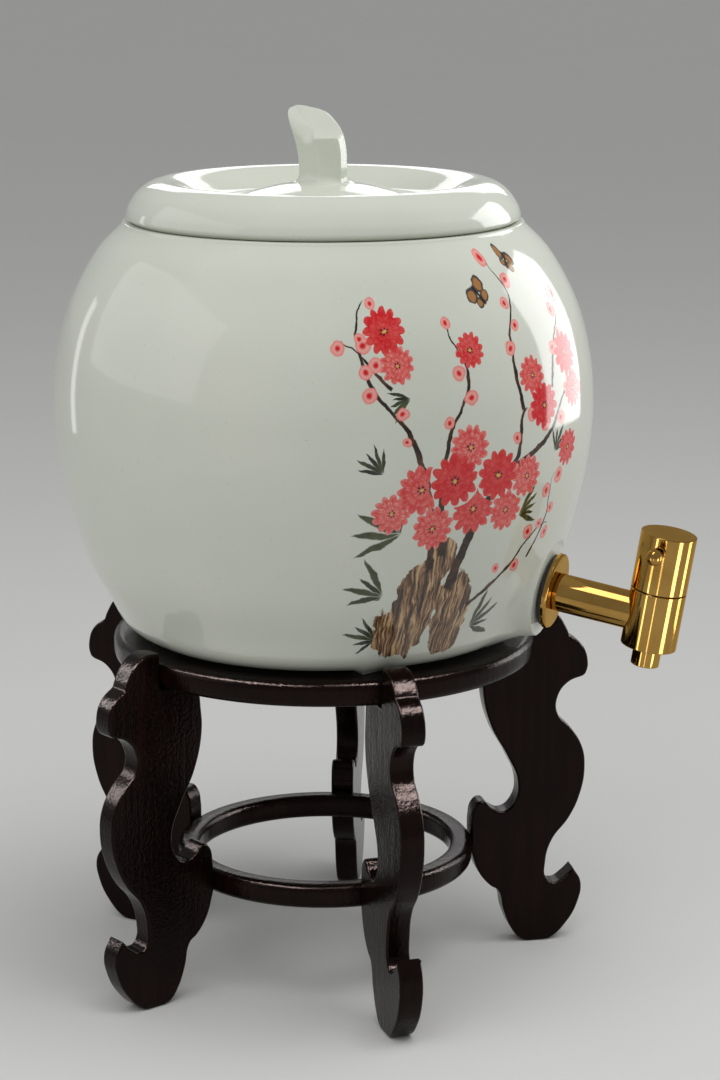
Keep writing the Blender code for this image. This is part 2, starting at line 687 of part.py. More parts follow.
def build_tap_handle(tube_frame):
    """Everything that turns with the lever. It turns about the tube's own axis."""
    turning = empty("tap_turn", tube_frame)
    groove_depth = o_ring_wire + fit_gap
    half_groove = o_ring_wire / 2 + fit_gap
    lower_ring = -plug_below + o_ring_inset
    upper_ring = plug_above - o_ring_inset
    groove_radius = plug_radius - groove_depth
    points = [(0.0, stem_top), (stem_radius, stem_top), (stem_radius, plug_above),
              (plug_radius, plug_above)]
    for level in (upper_ring, lower_ring):
        points += [(plug_radius, level + half_groove), (groove_radius, level + half_groove),
                   (groove_radius, level - half_groove), (plug_radius, level - half_groove)]
    points += [(plug_radius, -plug_below), (0.0, -plug_below)]
    plug = turned_part("valve_plug", points, "brass", turning, tap_steps)
    ring_wire("plug_o_ring_upper", turning, upper_ring)
    ring_wire("plug_o_ring_lower", turning, lower_ring)

    # Side port and outlet meet inside the plug. The port faces away from the pipe when shut.
    outlet = add_cutter("plug_outlet",
                        rod_mesh("plug_outlet", plug_port_radius, -2 * plug_below, 0.0, tap_steps),
                        turning)
    side_port = add_cutter("plug_side_port",
                           rod_mesh("plug_side_port", plug_port_radius * 0.9, 0.0, 2 * plug_radius,
                                    tap_steps),
                           turning, Matrix.Rotation(math.radians(90), 4, "Y"))
    combine(side_port, outlet, "UNION")
    combine(plug, side_port)

    hollow_radius = gland_radius + 3 * fit_gap
    hollow_top = seam_level + gland_stand_out + 2 * fit_gap
    edge = 2 * fit_gap
    cap = turned_part(
        "tap_cap",
        [(0.0, cap_top), (tube_radius - edge, cap_top), (tube_radius, cap_top - edge),
         (tube_radius, cap_foot), (hollow_radius, cap_foot), (hollow_radius, hollow_top),
         (stem_radius + fit_gap, hollow_top), (stem_radius + fit_gap, cap_top - cap_roof),
         (0.0, cap_top - cap_roof)],
        "brass", turning, boss_steps)

    lever_line = Matrix.Translation((0, 0, lever_level)) @ along_lever
    rod_start = stem_radius - lever_in_stem
    rod_end = lever_reach + ball_radius / 3
    lever_hole = add_cutter("lever_hole",
                            rod_mesh("lever_hole", lever_radius + fit_gap, rod_start - fit_gap,
                                     2 * tube_radius, dowel_steps),
                            turning, lever_line)
    combine(cap, lever_hole)
    combine(plug, lever_hole)
    add_part("lever_rod", rod_mesh("lever_rod", lever_radius, rod_start, rod_end, dowel_steps),
             "brass", turning, lever_line)
    collar_back = tube_radius + fit_gap
    turned_part("lever_collar",
                ring_points(lever_radius + fit_gap, collar_radius, collar_back,
                            collar_back + collar_length),
                "brass", turning, dowel_steps, lever_line, closed=True)

    ball_mesh = bpy.data.meshes.new("lever_ball")
    shape = bmesh.new()
    bmesh.ops.create_uvsphere(shape, u_segments=ball_steps, v_segments=ball_steps // 2,
                              radius=ball_radius)
    shape.to_mesh(ball_mesh)
    shape.free()
    ball_mesh.shade_smooth()
    ball = add_part("lever_ball", ball_mesh, "brass", turning,
                    lever_line @ Matrix.Translation((0, 0, lever_reach)))
    ball_hole = add_cutter("ball_hole",
                           rod_mesh("ball_hole", lever_radius + fit_gap, tube_radius,
                                    rod_end + fit_gap, dowel_steps),
                           turning, lever_line)
    combine(ball, ball_hole)


def centre_on_footprint(root):
    """Move the whole assembly so that its box stands centred on the origin."""
    bpy.context.view_layer.update()
    graph = bpy.context.evaluated_depsgraph_get()
    low = Vector((math.inf, math.inf))
    high = -low
    for item in parts.objects:
        shown = item.evaluated_get(graph)
        mesh = shown.to_mesh()
        for vertex in mesh.vertices:
            spot = item.matrix_world @ vertex.co
            low = Vector(map(min, low, spot.xy))
            high = Vector(map(max, high, spot.xy))
        shown.to_mesh_clear()
    centre = (low + high) / 2
    root.location = (-centre.x, -centre.y, 0.0)
    bpy.context.view_layer.update()
    print("assembly moved by", tuple(round(value, 6) for value in root.location))


clear_scene()
parts = new_collection("clay_water_pot")
cutters = new_collection("cutters")
guides = new_collection("guides")

assembly = empty("assembly")
build_stand(assembly)
pot_lift, tap_face = build_pot(assembly)
build_lid(pot_lift)
tube_centre = empty("tube_frame", tap_face, Matrix.Translation((0, -tube_offset, 0)))
build_tap_mounting(tap_face)
build_inlet_pipe(tap_face, tube_centre)
build_tap_body(tap_face, tube_centre)
build_tap_handle(tube_centre)
centre_on_footprint(assembly)
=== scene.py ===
import json
import math
from functools import partial, reduce

import bmesh
import bpy
import numpy as np
from mathutils import Matrix, Vector

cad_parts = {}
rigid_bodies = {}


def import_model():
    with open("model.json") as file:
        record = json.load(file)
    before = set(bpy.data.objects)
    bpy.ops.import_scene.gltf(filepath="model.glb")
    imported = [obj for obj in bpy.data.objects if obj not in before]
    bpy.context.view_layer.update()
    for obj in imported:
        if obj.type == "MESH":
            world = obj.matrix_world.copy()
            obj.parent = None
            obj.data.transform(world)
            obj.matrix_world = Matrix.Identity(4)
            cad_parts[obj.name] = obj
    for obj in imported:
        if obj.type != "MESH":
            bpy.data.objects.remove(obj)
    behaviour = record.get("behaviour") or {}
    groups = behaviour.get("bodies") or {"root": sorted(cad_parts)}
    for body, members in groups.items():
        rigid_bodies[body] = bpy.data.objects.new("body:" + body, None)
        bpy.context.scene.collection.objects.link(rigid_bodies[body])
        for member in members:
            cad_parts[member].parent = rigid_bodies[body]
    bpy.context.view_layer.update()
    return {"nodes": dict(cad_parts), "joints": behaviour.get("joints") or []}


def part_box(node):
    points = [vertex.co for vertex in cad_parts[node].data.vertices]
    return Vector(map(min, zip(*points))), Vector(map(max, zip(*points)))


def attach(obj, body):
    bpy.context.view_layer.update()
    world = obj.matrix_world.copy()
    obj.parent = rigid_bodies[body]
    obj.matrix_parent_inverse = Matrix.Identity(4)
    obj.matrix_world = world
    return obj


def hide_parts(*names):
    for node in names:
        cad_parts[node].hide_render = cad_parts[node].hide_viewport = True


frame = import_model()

print("frame loaded:", len(frame["nodes"]), "nodes")


# Places that every piece shares, read from the frame

ringLow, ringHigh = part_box("top_ring")
axisX, axisY = ((ringLow + ringHigh) / 2).xy
standTop = ringHigh.z
potBase, rimTop = (corner.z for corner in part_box("pot"))

tapJoint = next(joint for joint in frame["joints"] if joint["name"] == "tap_turn")
tubeUp = Vector(tapJoint["axis"]).normalized()
pipeIn = tubeUp.cross(Vector((1, 0, 0)))         # from the tube back into the pot
tapAxes = Matrix((Vector((1, 0, 0)), pipeIn, tubeUp)).transposed().to_4x4()
tapFrame = Matrix.Translation(tapJoint["pos_m"]) @ tapAxes
alongPipe = Matrix.Rotation(math.radians(-90), 4, "X")
alongLever = Matrix.Rotation(math.radians(-90), 4, "Y")
potFrame = Matrix.Translation((axisX, axisY, potBase))
standFrame = Matrix.Translation((axisX, axisY, 0))


# Mesh tools

def newObject(name, data):
    made = bpy.data.objects.new(name, data)
    bpy.context.scene.collection.objects.link(made)
    return made


def newPiece(name, mesh, matrix):
    mesh.transform(matrix)
    return newObject(name, mesh)


def finishedMesh(made, name):
    # the mesh that the object's curve or modifiers give
    bpy.context.view_layer.update()
    graph = bpy.context.evaluated_depsgraph_get()
    mesh = bpy.data.meshes.new_from_object(made.evaluated_get(graph))
    mesh.name = name
    return mesh


def ringsMesh(name, rings, loop=False):
    # each ring is a list of points, and a ring of one point closes the shape
    verts, faces, starts = [], [], []
    for ring in rings:
        starts.append(len(verts))
        verts.extend(tuple(point) for point in ring)
    pairs = [(i, i + 1) for i in range(len(rings) - 1)]
    if loop:
        pairs.append((len(rings) - 1, 0))
    for a, b in pairs:
        count = max(len(rings[a]), len(rings[b]))
        for i in range(count):
            j = (i + 1) % count
            low = [starts[a] + k for k in ((i, j) if len(rings[a]) > 1 else (0,))]
            high = [starts[b] + k for k in ((j, i) if len(rings[b]) > 1 else (0,))]
            faces.append(low + high)
    mesh = bpy.data.meshes.new(name)
    mesh.from_pydata(verts, [], faces)
    tidyMesh(mesh)
    return mesh


def tidyMesh(mesh, sharpAngle=32, weld=0.0):
    shape = bmesh.new()
    shape.from_mesh(mesh)
    if weld:
        bmesh.ops.remove_doubles(shape, verts=shape.verts, dist=weld)
    bmesh.ops.recalc_face_normals(shape, faces=shape.faces)
    shape.to_mesh(mesh)
    shape.free()
    mesh.shade_smooth()
    mesh.set_sharp_from_angle(angle=math.radians(sharpAngle))
    return mesh


def ringsThrough(profile, turn):
    # rings about +Z through the profile's points (radius, level), or one point where a ring closes
    rings = []
    for radius, level in profile:
        if np.max(radius) < 1e-7:
            rings.append([(0, 0, level)])
        else:
            levels = np.full_like(turn, level)
            rings.append(list(zip(radius * np.cos(turn), radius * np.sin(turn), levels)))
    return rings


def turnedMesh(name, profile, steps, loop=False):
    turn = 2 * np.pi * np.arange(steps) / steps
    return ringsMesh(name, ringsThrough(profile, turn), loop)


def rounded(corners, steps=4, loop=False):
    # corners are (radius, level, rounding); a rounded corner becomes a short arc
    count = len(corners)
    result = []
    for i, (radius, level, rounding) in enumerate(corners):
        here = Vector((radius, level))
        if rounding == 0 or (not loop and i in (0, count - 1)):
            result.append(tuple(here))
            continue
        before = Vector(corners[i - 1][:2]) - here
        after = Vector(corners[(i + 1) % count][:2]) - here
        half = before.angle(after) / 2
        back = min(rounding / math.tan(half), 0.48 * before.length, 0.48 * after.length)
        start = here + before.normalized() * back
        end = here + after.normalized() * back
        for step in range(steps + 1):
            t = step / steps
            result.append(tuple(start * (1 - t) ** 2 + here * 2 * t * (1 - t) + end * t ** 2))
    return result


def smoothThrough(points, perSpan):
    row = [Vector(point) for point in points]
    row = [2 * row[0] - row[1]] + row + [2 * row[-1] - row[-2]]
    result = []
    for before, start, end, after in zip(row, row[1:], row[2:], row[3:]):
        leanIn, leanOut = (end - before) / 2, (after - start) / 2
        for step in range(perSpan):
            t = step / perSpan
            result.append(start * (2 * t ** 3 - 3 * t ** 2 + 1) + leanIn * (t ** 3 - 2 * t ** 2 + t)
                          + end * (3 * t ** 2 - 2 * t ** 3) + leanOut * (t ** 3 - t ** 2))
    return result + [row[-2]]


def cutBy(piece, cutter):
    step = piece.modifiers.new("cut", "BOOLEAN")
    step.operation = "DIFFERENCE"
    step.solver = "EXACT"
    step.object = cutter
    whole, piece.data = piece.data, finishedMesh(piece, piece.name)
    piece.modifiers.clear()
    bpy.data.meshes.remove(whole)
    bpy.data.objects.remove(cutter, do_unlink=True)


def rodPiece(name, radius, low, high, steps, matrix):
    profile = [(0, high), (radius, high), (radius, low), (0, low)]
    return newPiece(name, turnedMesh(name, profile, steps), matrix)


def boardMesh(name, outline, halfDepth, edge, resolution):
    # a flat outline of (x, y, corner) knots, made thick along Z, with rounded edges
    curve = bpy.data.curves.new(name, "CURVE")
    curve.dimensions = "2D"
    curve.fill_mode = "BOTH"
    curve.extrude = halfDepth - edge
    curve.bevel_depth = edge
    curve.bevel_resolution = 3
    curve.offset = -edge
    curve.resolution_u = resolution
    spline = curve.splines.new("BEZIER")
    spline.bezier_points.add(len(outline) - 1)
    for knot, (x, y, corner) in zip(spline.bezier_points, outline):
        knot.co = (x, y, 0)
        knot.handle_left_type = "VECTOR" if corner else "AUTO"
        knot.handle_right_type = "VECTOR" if corner else "AUTO"
    spline.use_cyclic_u = True
    guide = newObject(name, curve)
    mesh = finishedMesh(guide, name)
    bpy.data.objects.remove(guide, do_unlink=True)
    return tidyMesh(mesh, 40, 0.00002)


def evenNormals(piece):
    step = piece.modifiers.new("evenNormals", "WEIGHTED_NORMAL")
    step.keep_sharp = True
    step.weight = 80
    return piece


def dress(piece, body, slot, material, *nodes):
    piece.data.materials.clear()
    piece.data.materials.append(material)
    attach(piece, body)
    if nodes:
        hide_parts(*nodes)
    return piece


# Material tools

def newMaterial(name, **values):
    # the material, the place on its surface that its nodes start from, and its shader
    material = bpy.data.materials.new(name)
    material.use_nodes = True
    tree = material.node_tree
    shader = tree.nodes["Principled BSDF"]
    for socket, value in values.items():
        shader.inputs[socket.replace("_", " ")].default_value = value
    return material, tree.nodes.new("ShaderNodeTexCoord").outputs["Object"], shader


def feed(node, **maps):
    for socket, value in maps.items():
        node.id_data.links.new(value, node.inputs[socket.replace("_", " ")])


def addNode(kind, inputs, **settings):
    # the node joins the tree of the first link among its inputs
    linked = [value for value in inputs.values() if isinstance(value, bpy.types.NodeSocket)]
    tree = linked[0].id_data
    node = tree.nodes.new("ShaderNode" + kind)
    for key, value in settings.items():
        setattr(node, key, value)
    for key, value in inputs.items():
        if value in linked:
            tree.links.new(value, node.inputs[key])
        else:
            node.inputs[key].default_value = value
    return node


def maths(operation, a, b=0.0, clamp=False):
    return addNode("Math", {0: a, 1: b}, operation=operation, use_clamp=clamp).outputs[0]


plus, minus, times, over = (partial(maths, name) for name in ("ADD", "SUBTRACT", "MULTIPLY", "DIVIDE"))
larger, smaller, absolute = (partial(maths, name) for name in ("MAXIMUM", "MINIMUM", "ABSOLUTE"))


def mixColour(factor, a, b):
    # sockets 0, 6 and 7 are the factor and the two colours, and output 2 is the mixed colour
    a, b = ((*colour, 1) if isinstance(colour, tuple) else colour for colour in (a, b))
    return addNode("Mix", {0: factor, 6: a, 7: b}, data_type="RGBA").outputs[2]


def noise(vector, scale, detail=4.0, roughness=0.5, distortion=0.0):
    return addNode("TexNoise", {"Vector": vector, "Scale": scale, "Detail": detail, "Roughness": roughness,
                                "Distortion": distortion}).outputs["Fac"]


def ramp(factor, stops):
    node = addNode("ValToRGB", {"Fac": factor})
    elements = node.color_ramp.elements
    while len(elements) < len(stops):
        elements.new(0.5)
    for element, (place, colour) in zip(elements, stops):
        element.position = place
        element.color = (*colour, 1)
    return node.outputs["Color"]


def spread(value, fromLow, fromHigh, toLow=0.0, toHigh=1.0):
    return addNode("MapRange", {"Value": value, "From Min": fromLow, "From Max": fromHigh, "To Min": toLow,
                                "To Max": toHigh}).outputs["Result"]


def bump(height, strength, distance, below=None):
    # a bump that may lie on another one
    inputs = {"Height": height, "Strength": strength, "Distance": distance}
    if below is not None:
        inputs["Normal"] = below
    return addNode("Bump", inputs).outputs["Normal"]


def stretched(vector, scale, turn=0.0):
    return addNode("Mapping", {"Vector": vector, "Rotation": (0, 0, turn), "Scale": scale}).outputs[0]


# Glaze

glazeLook = {
    "thin": (0.64, 0.655, 0.58), "thick": (0.57, 0.602, 0.52), "speck": (0.33, 0.31, 0.24),
    "roughness": 0.08, "cloudScale": 9.0, "speckScale": 900.0, "waveScale": 16.0, "waveHeight": 0.00035,
}


def makeGlaze(name, decorate=None):
    look = glazeLook
    material, point, shader = newMaterial(name, Roughness=look["roughness"], IOR=1.52)
    cloud = noise(point, look["cloudScale"], 3.0, 0.55)
    speck = noise(point, look["speckScale"], 1.0, 0.4)
    colour = mixColour(spread(cloud, 0.3, 0.7), look["thin"], look["thick"])
    colour = mixColour(spread(speck, 0.74, 0.8, 0.0, 0.35), colour, look["speck"])
    if decorate:
        colour = decorate(point, colour)
    wave = noise(point, look["waveScale"], 2.0, 0.4)
    feed(shader, Base_Color=colour, Normal=bump(wave, 0.6, look["waveHeight"]))
    return material


# Painting on the pot, in millimetres along the wall from the painting's middle and up from the floor

painting = {
    "middle": -128.0, "wallRadius": 125.0, "wobble": 1.4, "wobbleScale": 0.16,
    # place, half width, half height, lean in degrees
    "rocks": ((-22, 197, 13, 25, -12), (0, 193, 12, 22, 8), (-31, 187, 12, 14, 10), (-12, 219, 7, 13, -24)),
    "rockColours": ((0.014, 0.007, 0.004), (0.15, 0.062, 0.02), (0.56, 0.38, 0.2)),
    "rockStops": (0.4, 0.5, 0.62), "rockStreaks": (0.55, 0.06, 1.0),
    # foot, direction (degrees from up, to the left), length, widths at foot and tip, and the bends' shares
    "stems": (
        (-6, 205, -24, 88, 3.0, 1.0, (0.0, 0.06, -0.03, 0.05, 0.02)),
        (-17, 215, 16, 124, 2.1, 0.6, (0.0, -0.07, 0.04, -0.05, 0.02)),
        (-12, 222, -4, 104, 1.9, 0.5, (0.0, 0.05, -0.04, 0.05, -0.02)),
        (20, 258, -58, 66, 1.9, 0.5, (0.0, -0.08, 0.04, -0.05, 0.05)),
        (29, 283, -2, 66, 1.4, 0.4, (0.0, 0.05, -0.06, 0.04, -0.04)),
        (8, 196, -60, 58, 1.5, 0.4, (0.0, -0.1, -0.05, -0.12, -0.06)),
        (-38, 298, 48, 30, 1.0, 0.4, (0.0, 0.1, 0.04, 0.06, 0.03)),
        (44, 214, -14, 40, 1.0, 0.3, (0.0, 0.06, 0.1, 0.03, 0.02)),
        (50, 290, -24, 46, 1.1, 0.4, (0.0, 0.08, -0.02, 0.06, 0.0)),
    ),
    "stemColours": ((0.016, 0.008, 0.005), (0.085, 0.034, 0.013)), "stemEdge": 0.35, "stemEnds": 60.0,
    # foot of the fan, direction of its middle, length, spread in degrees
    "leaves": ((-33, 234, 62, 25, 130), (-39, 206, 78, 22, 120), (-40, 184, 82, 20, 110),
               (17, 184, -58, 20, 120), (-42, 262, 40, 17, 100), (52, 262, -30, 16, 110),
               (30, 236, -70, 17, 90), (-30, 294, 110, 13, 90)),
    "leafCount": 5, "leafWidth": 0.085, "leafColours": ((0.006, 0.011, 0.005), (0.065, 0.08, 0.034)),
    # place, first petal's direction, size, and how red it is
    "backFlowers": ((-38, 244, 10, 9.5, 0.05), (21, 240, 70, 10.0, 0.3), (-18, 236, 35, 10.5, 0.2),
                    (32, 254, 15, 10.0, 0.15), (-2, 271, 80, 10.5, 0.1), (-35, 308, 60, 8.5, 0.15),
                    (36, 298, 5, 9.0, 0.35), (70, 288, 30, 9.0, 0.4), (1, 312, 25, 8.0, 0.7)),
    "frontFlowers": ((2, 243, 0, 12.0, 0.65), (-25, 254, 50, 11.5, 0.45), (-9, 257, 20, 12.5, 1.0),
                     (14, 257, 65, 12.0, 1.0), (-40, 322, 15, 10.5, 0.95), (43, 284, 40, 10.5, 1.0),
                     (66, 304, 65, 10.5, 0.95), (64, 262, 30, 9.0, 0.6)),
    "petals": 12, "petalRows": ((1.0, 0.0), (0.66, 0.5), (0.36, 0.0)),      # reach, and turn in petals
    "petalColours": ((0.58, 0.002, 0.008), (0.7, 0.13, 0.115), (0.82, 0.43, 0.375)),
    "heartColours": ((0.016, 0.008, 0.008), (0.62, 0.4, 0.1)),
    # buds stand by the stems, on alternate sides: first and last along each stem, and how many
    "budSpans": ((0.55, 0.98, 4), (0.5, 0.98, 6), (0.58, 0.98, 5), (0.45, 0.97, 4), (0.42, 0.98, 5),
                 (0.35, 0.95, 4), (0.45, 0.97, 3), (0.4, 0.97, 4), (0.4, 0.97, 4)),
    "budRadius": (2.2, 3.7), "budGap": 0.3,
    # place, direction, size, and for each wing its place, turn and size in the butterfly
    "butterflies": ((14, 334, 38, 7.0), (44, 346, -30, 6.0)),
    "wings": ((0.52, 0.36, -35, 0.52), (0.36, -0.34, 20, 0.36)),
    "wingColours": ((0.02, 0.012, 0.01), (0.38, 0.17, 0.045)),
}
farOff = 9.0        # more than a motif's size, so nothing is painted there


def fromPlace(place, u, v, turn, size):
    # the place as seen from a spot, turned, and measured in the motif's own size
    return addNode("Mapping", {"Vector": place, "Location": (u, v, 0), "Rotation": (0, 0, math.radians(turn)),
                               "Scale": (size, size, size)}, vector_type="TEXTURE").outputs[0]


def split(vector):
    return addNode("SeparateXYZ", {0: vector}).outputs[:]


def joined(x, y):
    return addNode("CombineXYZ", {0: x, 1: y}).outputs[0]


def vectorMaths(operation, a, b=(0, 0, 0), output="Vector"):
    return addNode("VectorMath", {0: a, 1: b}, operation=operation).outputs[output]


def lengthOf(vector):
    return vectorMaths("LENGTH", vector, output="Value")


def choose(factor, a, b, kind="FLOAT"):
    # the inputs and the output of a Mix node lie at other sockets for each kind
    first, output = {"FLOAT": (2, 0), "VECTOR": (4, 1)}[kind]
    return addNode("Mix", {0: factor, first: a, first + 1: b}, data_type=kind).outputs[output]


def nearestMotif(place, spots):
    # the local place in the last motif that covers it, and that motif's own value
    local, value = (farOff, farOff, 0.0), 0.0
    for u, v, turn, size, own in spots:
        here = fromPlace(place, u, v, turn, size)
        inside = maths("LESS_THAN", lengthOf(here), 1.0)
        local = choose(inside, local, here, "VECTOR")
        value = choose(inside, value, own)
    return local, value


def paintRocks(place, colour, rough):
    shapes = []
    for u, v, halfWidth, halfHeight, lean in painting["rocks"]:
        x, y = split(fromPlace(place, u, v, lean, halfHeight))[:2]
        wide = maths("POWER", absolute(times(x, halfHeight / halfWidth)), 2.4)
        shapes.append(minus(1.0, plus(wide, maths("POWER", absolute(y), 2.8))))
    ragged = plus(reduce(larger, shapes), spread(rough, 0.3, 0.7, -0.45, 0.25))
    streak = noise(stretched(place, painting["rockStreaks"], 0.2), 1.0, 5.0, 0.65, 0.8)
    tone = ramp(streak, tuple(zip(painting["rockStops"], painting["rockColours"])))
    return mixColour(spread(ragged, 0.0, 0.1, 0.0, 0.96), colour, tone)


def paintStems(place, colour, rough):
    lines = []
    for u, v, turn, length, footWidth, tipWidth, bends in painting["stems"]:
        x, y = split(fromPlace(place, u, v, turn, length))[:2]
        course = addNode("FloatCurve", {"Value": y})
        curve = course.mapping.curves[0]
        for number, bend in enumerate(bends):
            along = number / (len(bends) - 1)
            if 0 < along < 1:
                curve.points.new(along, 0.5 + bend)
            else:
                curve.points[int(along)].location = (along, 0.5 + bend)
        course.mapping.update()
        off = absolute(minus(plus(x, 0.5), course.outputs[0]))
        width = spread(y, 0.0, 1.0, footWidth / length, tipWidth / length)
        inside = times(minus(width, off), length / painting["stemEdge"], True)
        ends = [times(end, painting["stemEnds"], True) for end in (y, minus(1.0, y))]
        lines.append(times(inside, times(*ends)))
    tone = mixColour(spread(rough, 0.45, 0.65), *painting["stemColours"])
    return mixColour(reduce(larger, lines), colour, tone)


def paintLeaves(place, colour, rough):
    count = painting["leafCount"]
    fans = [(u, v, turn, length, math.radians(wide)) for u, v, turn, length, wide in painting["leaves"]]
    local, fan = nearestMotif(place, fans)
    x, y = split(local)[:2]
    sector = over(fan, count)
    turned = over(maths("ARCTAN2", x, y), larger(sector, 0.05))
    shifted = plus(turned, 0.5 * (count % 2))
    within = maths("LESS_THAN", absolute(turned), count / 2)
    off = times(minus(maths("FRACT", shifted), 0.5), sector)
    leaf = plus(maths("FLOOR", shifted), fan)
    own = addNode("TexWhiteNoise", {"W": leaf}, noise_dimensions="1D").outputs["Value"]
    reach = over(lengthOf(local), spread(own, 0.0, 1.0, 0.62, 1.0))
    taper = times(times(reach, 4 * painting["leafWidth"]), minus(1.0, reach))
    mask = times(times(minus(taper, absolute(times(reach, off))), 40.0, True), within)
    tone = mixColour(spread(plus(times(own, 0.35), rough), 0.45, 0.95), *painting["leafColours"])
    return mixColour(mask, colour, tone)


def paintFlowers(place, colour, rough):
    for flowers in (painting["backFlowers"], painting["frontFlowers"]):
        colour = paintPetals(place, colour, rough, flowers)
    return colour


def paintPetals(place, colour, rough, flowers):
    local, red = nearestMotif(place, flowers)
    x, y = split(local)[:2]
    reach = lengthOf(local)
    turned = times(maths("ARCTAN2", x, y), painting["petals"] / (2 * math.pi))
    deep, pink, pale = painting["petalColours"]
    shade = tuple(value * 0.45 for value in deep)
    tint = mixColour(plus(times(red, 0.8), spread(rough, 0.4, 0.6, -0.15, 0.3), True), pink, deep)
    light = mixColour(red, pale, pink)
    # fine strokes that run along the petals, and a watery wash over them
    strokes = joined(times(turned, 5.0), times(reach, 2.5))
    stroke = spread(noise(strokes, 1.0, 3.0, 0.6), 0.42, 0.68, 0.0, 0.75)
    wash = spread(noise(place, 0.45, 4.0, 0.6, 0.6), 0.52, 0.7, 0.0, 0.55)
    for outer, shift in painting["petalRows"]:
        # across a petal, 0 is its middle and 1 its border
        across = times(absolute(minus(maths("FRACT", plus(turned, shift + 8)), 0.5)), 2.0)
        inside = minus(minus(outer * 0.97, times(times(times(across, across), 0.24), outer)), reach)
        blush = times(spread(inside, 0.0, 0.22, 0.9, 0.0), spread(across, 0.35, 1.0, 1.0, 0.1))
        petal = mixColour(times(blush, spread(red, 0.0, 1.0, 0.85, 0.45)), tint, light)
        border = times(spread(across, 0.8, 1.0, 0.0, 0.75), spread(reach, 0.1, 0.5, 1.0, 0.5))
        petal = mixColour(wash, mixColour(border, petal, shade), light)
        petal = mixColour(stroke, petal, deep)
        colour = mixColour(times(inside, 28.0, True), colour, petal)
    dark, yellow = painting["heartColours"]
    rays = maths("GREATER_THAN", maths("SINE", times(turned, math.pi)), 0.2)
    colour = mixColour(times(spread(reach, 0.2, 0.15), rays), colour, dark)
    return mixColour(spread(reach, 0.09, 0.06), colour, yellow)


def budPlaces():
    small, large = painting["budRadius"]
    for stem, (first, last, count) in zip(painting["stems"], painting["budSpans"]):
        u, v, turn, length, footWidth, tipWidth, bends = stem
        spin = math.radians(turn)
        for number, along in enumerate(np.linspace(first, last, count)):
            radius = small + (large - small) * abs(math.sin(2.4 * number + u + v))
            side = (radius + painting["budGap"]) * (1 if number % 2 else -1)
            x = length * float(np.interp(along, np.linspace(0, 1, len(bends)), bends)) + side
            place = Matrix.Rotation(spin, 2) @ Vector((x, length * along))
            yield u + place.x, v + place.y, radius


def paintBuds(place, colour, rough):
    near = farOff
    for u, v, radius in budPlaces():
        near = smaller(near, over(vectorMaths("DISTANCE", place, (u, v, 0), "Value"), radius))
    deep, pink, pale = painting["petalColours"]
    tone = mixColour(spread(near, 0.22, 0.5, 0.0, 0.8), deep, pale)
    tone = mixColour(spread(near, 0.6, 0.95, 0.0, 0.8), tone, pink)
    return mixColour(spread(near, 1.0, 0.86), colour, tone)


def paintButterflies(place, colour, rough):
    dark, warm = painting["wingColours"]
    for u, v, turn, size in painting["butterflies"]:
        x, y = split(fromPlace(place, u, v, turn, size))[:2]
        folded = joined(absolute(x), y)
        wings = smaller(*(lengthOf(fromPlace(folded, *wing)) for wing in painting["wings"]))
        colour = mixColour(spread(wings, 1.0, 0.9, 0.0, 0.95), colour, dark)
        colour = mixColour(spread(plus(wings, rough), 1.25, 1.05, 0.0, 0.9), colour, warm)
        body = larger(times(absolute(x), 9.0), absolute(times(y, 1.4)))
        colour = mixColour(spread(body, 1.0, 0.85), colour, dark)
    return colour


def paintPot(point, colour):
    # the wall is unrolled round the pot's axis, and a slow noise makes the lines a little unsteady
    wobble = 2 * painting["wobble"]
    x, y, z = split(fromPlace(point, axisX, axisY, painting["middle"], 1))
    flat = joined(times(maths("ARCTAN2", y, x), painting["wallRadius"]), times(z, 1000.0))
    shake = addNode("TexNoise", {"Vector": flat, "Scale": painting["wobbleScale"], "Detail": 3.0})
    shift = vectorMaths("SUBTRACT", shake.outputs["Color"], (0.5, 0.5, 0.5))
    place = vectorMaths("ADD", flat, vectorMaths("MULTIPLY", shift, (wobble, wobble, 0)))
    for paint in (paintRocks, paintStems, paintLeaves, paintBuds, paintFlowers, paintButterflies):
        colour = paint(place, colour, shake.outputs["Fac"])
    return colour


# Lacquered wood

lacquerLook = {
    "dark": (0.0022, 0.0014, 0.0013), "warm": (0.012, 0.0034, 0.0025),
    "roughness": (0.06, 0.14), "specular": 0.14, "tint": (1.0, 0.74, 0.68, 1.0),
    "grainScale": (260.0, 260.0, 18.0), "patchScale": 22.0, "pitScale": 650.0, "pitHeight": 0.00045,
    "waveScale": 55.0, "waveHeight": 0.0005,
}


def makeLacquer(name):
    look = lacquerLook
    material, point, shader = newMaterial(name, IOR=1.5, Specular_IOR_Level=look["specular"],
                                          Specular_Tint=look["tint"])
    grain = noise(stretched(point, look["grainScale"]), 1.0, 5.0, 0.6, 0.4)
    patch = noise(point, look["patchScale"], 3.0, 0.5)
    tone = times(spread(grain, 0.35, 0.75), spread(patch, 0.35, 0.7, 0.2, 1.0))
    waves = bump(noise(point, look["waveScale"], 2.0, 0.5), 0.5, look["waveHeight"])
    grooves = bump(grain, 0.4, look["pitHeight"], waves)
    pits = bump(noise(point, look["pitScale"], 3.0, 0.6), 0.45, look["pitHeight"], grooves)
    feed(shader, Base_Color=mixColour(tone, look["dark"], look["warm"]),
         Roughness=spread(patch, 0.3, 0.7, *look["roughness"]), Normal=pits)
    return material


# Polished brass

brassLook = {
    "pale": (0.45, 0.27, 0.074), "deep": (0.32, 0.168, 0.038), "tint": (1.0, 0.8, 0.5, 1.0),
    "roughness": (0.045, 0.12), "patchScale": 60.0, "grainScale": 1400.0, "grainHeight": 0.00005,
}


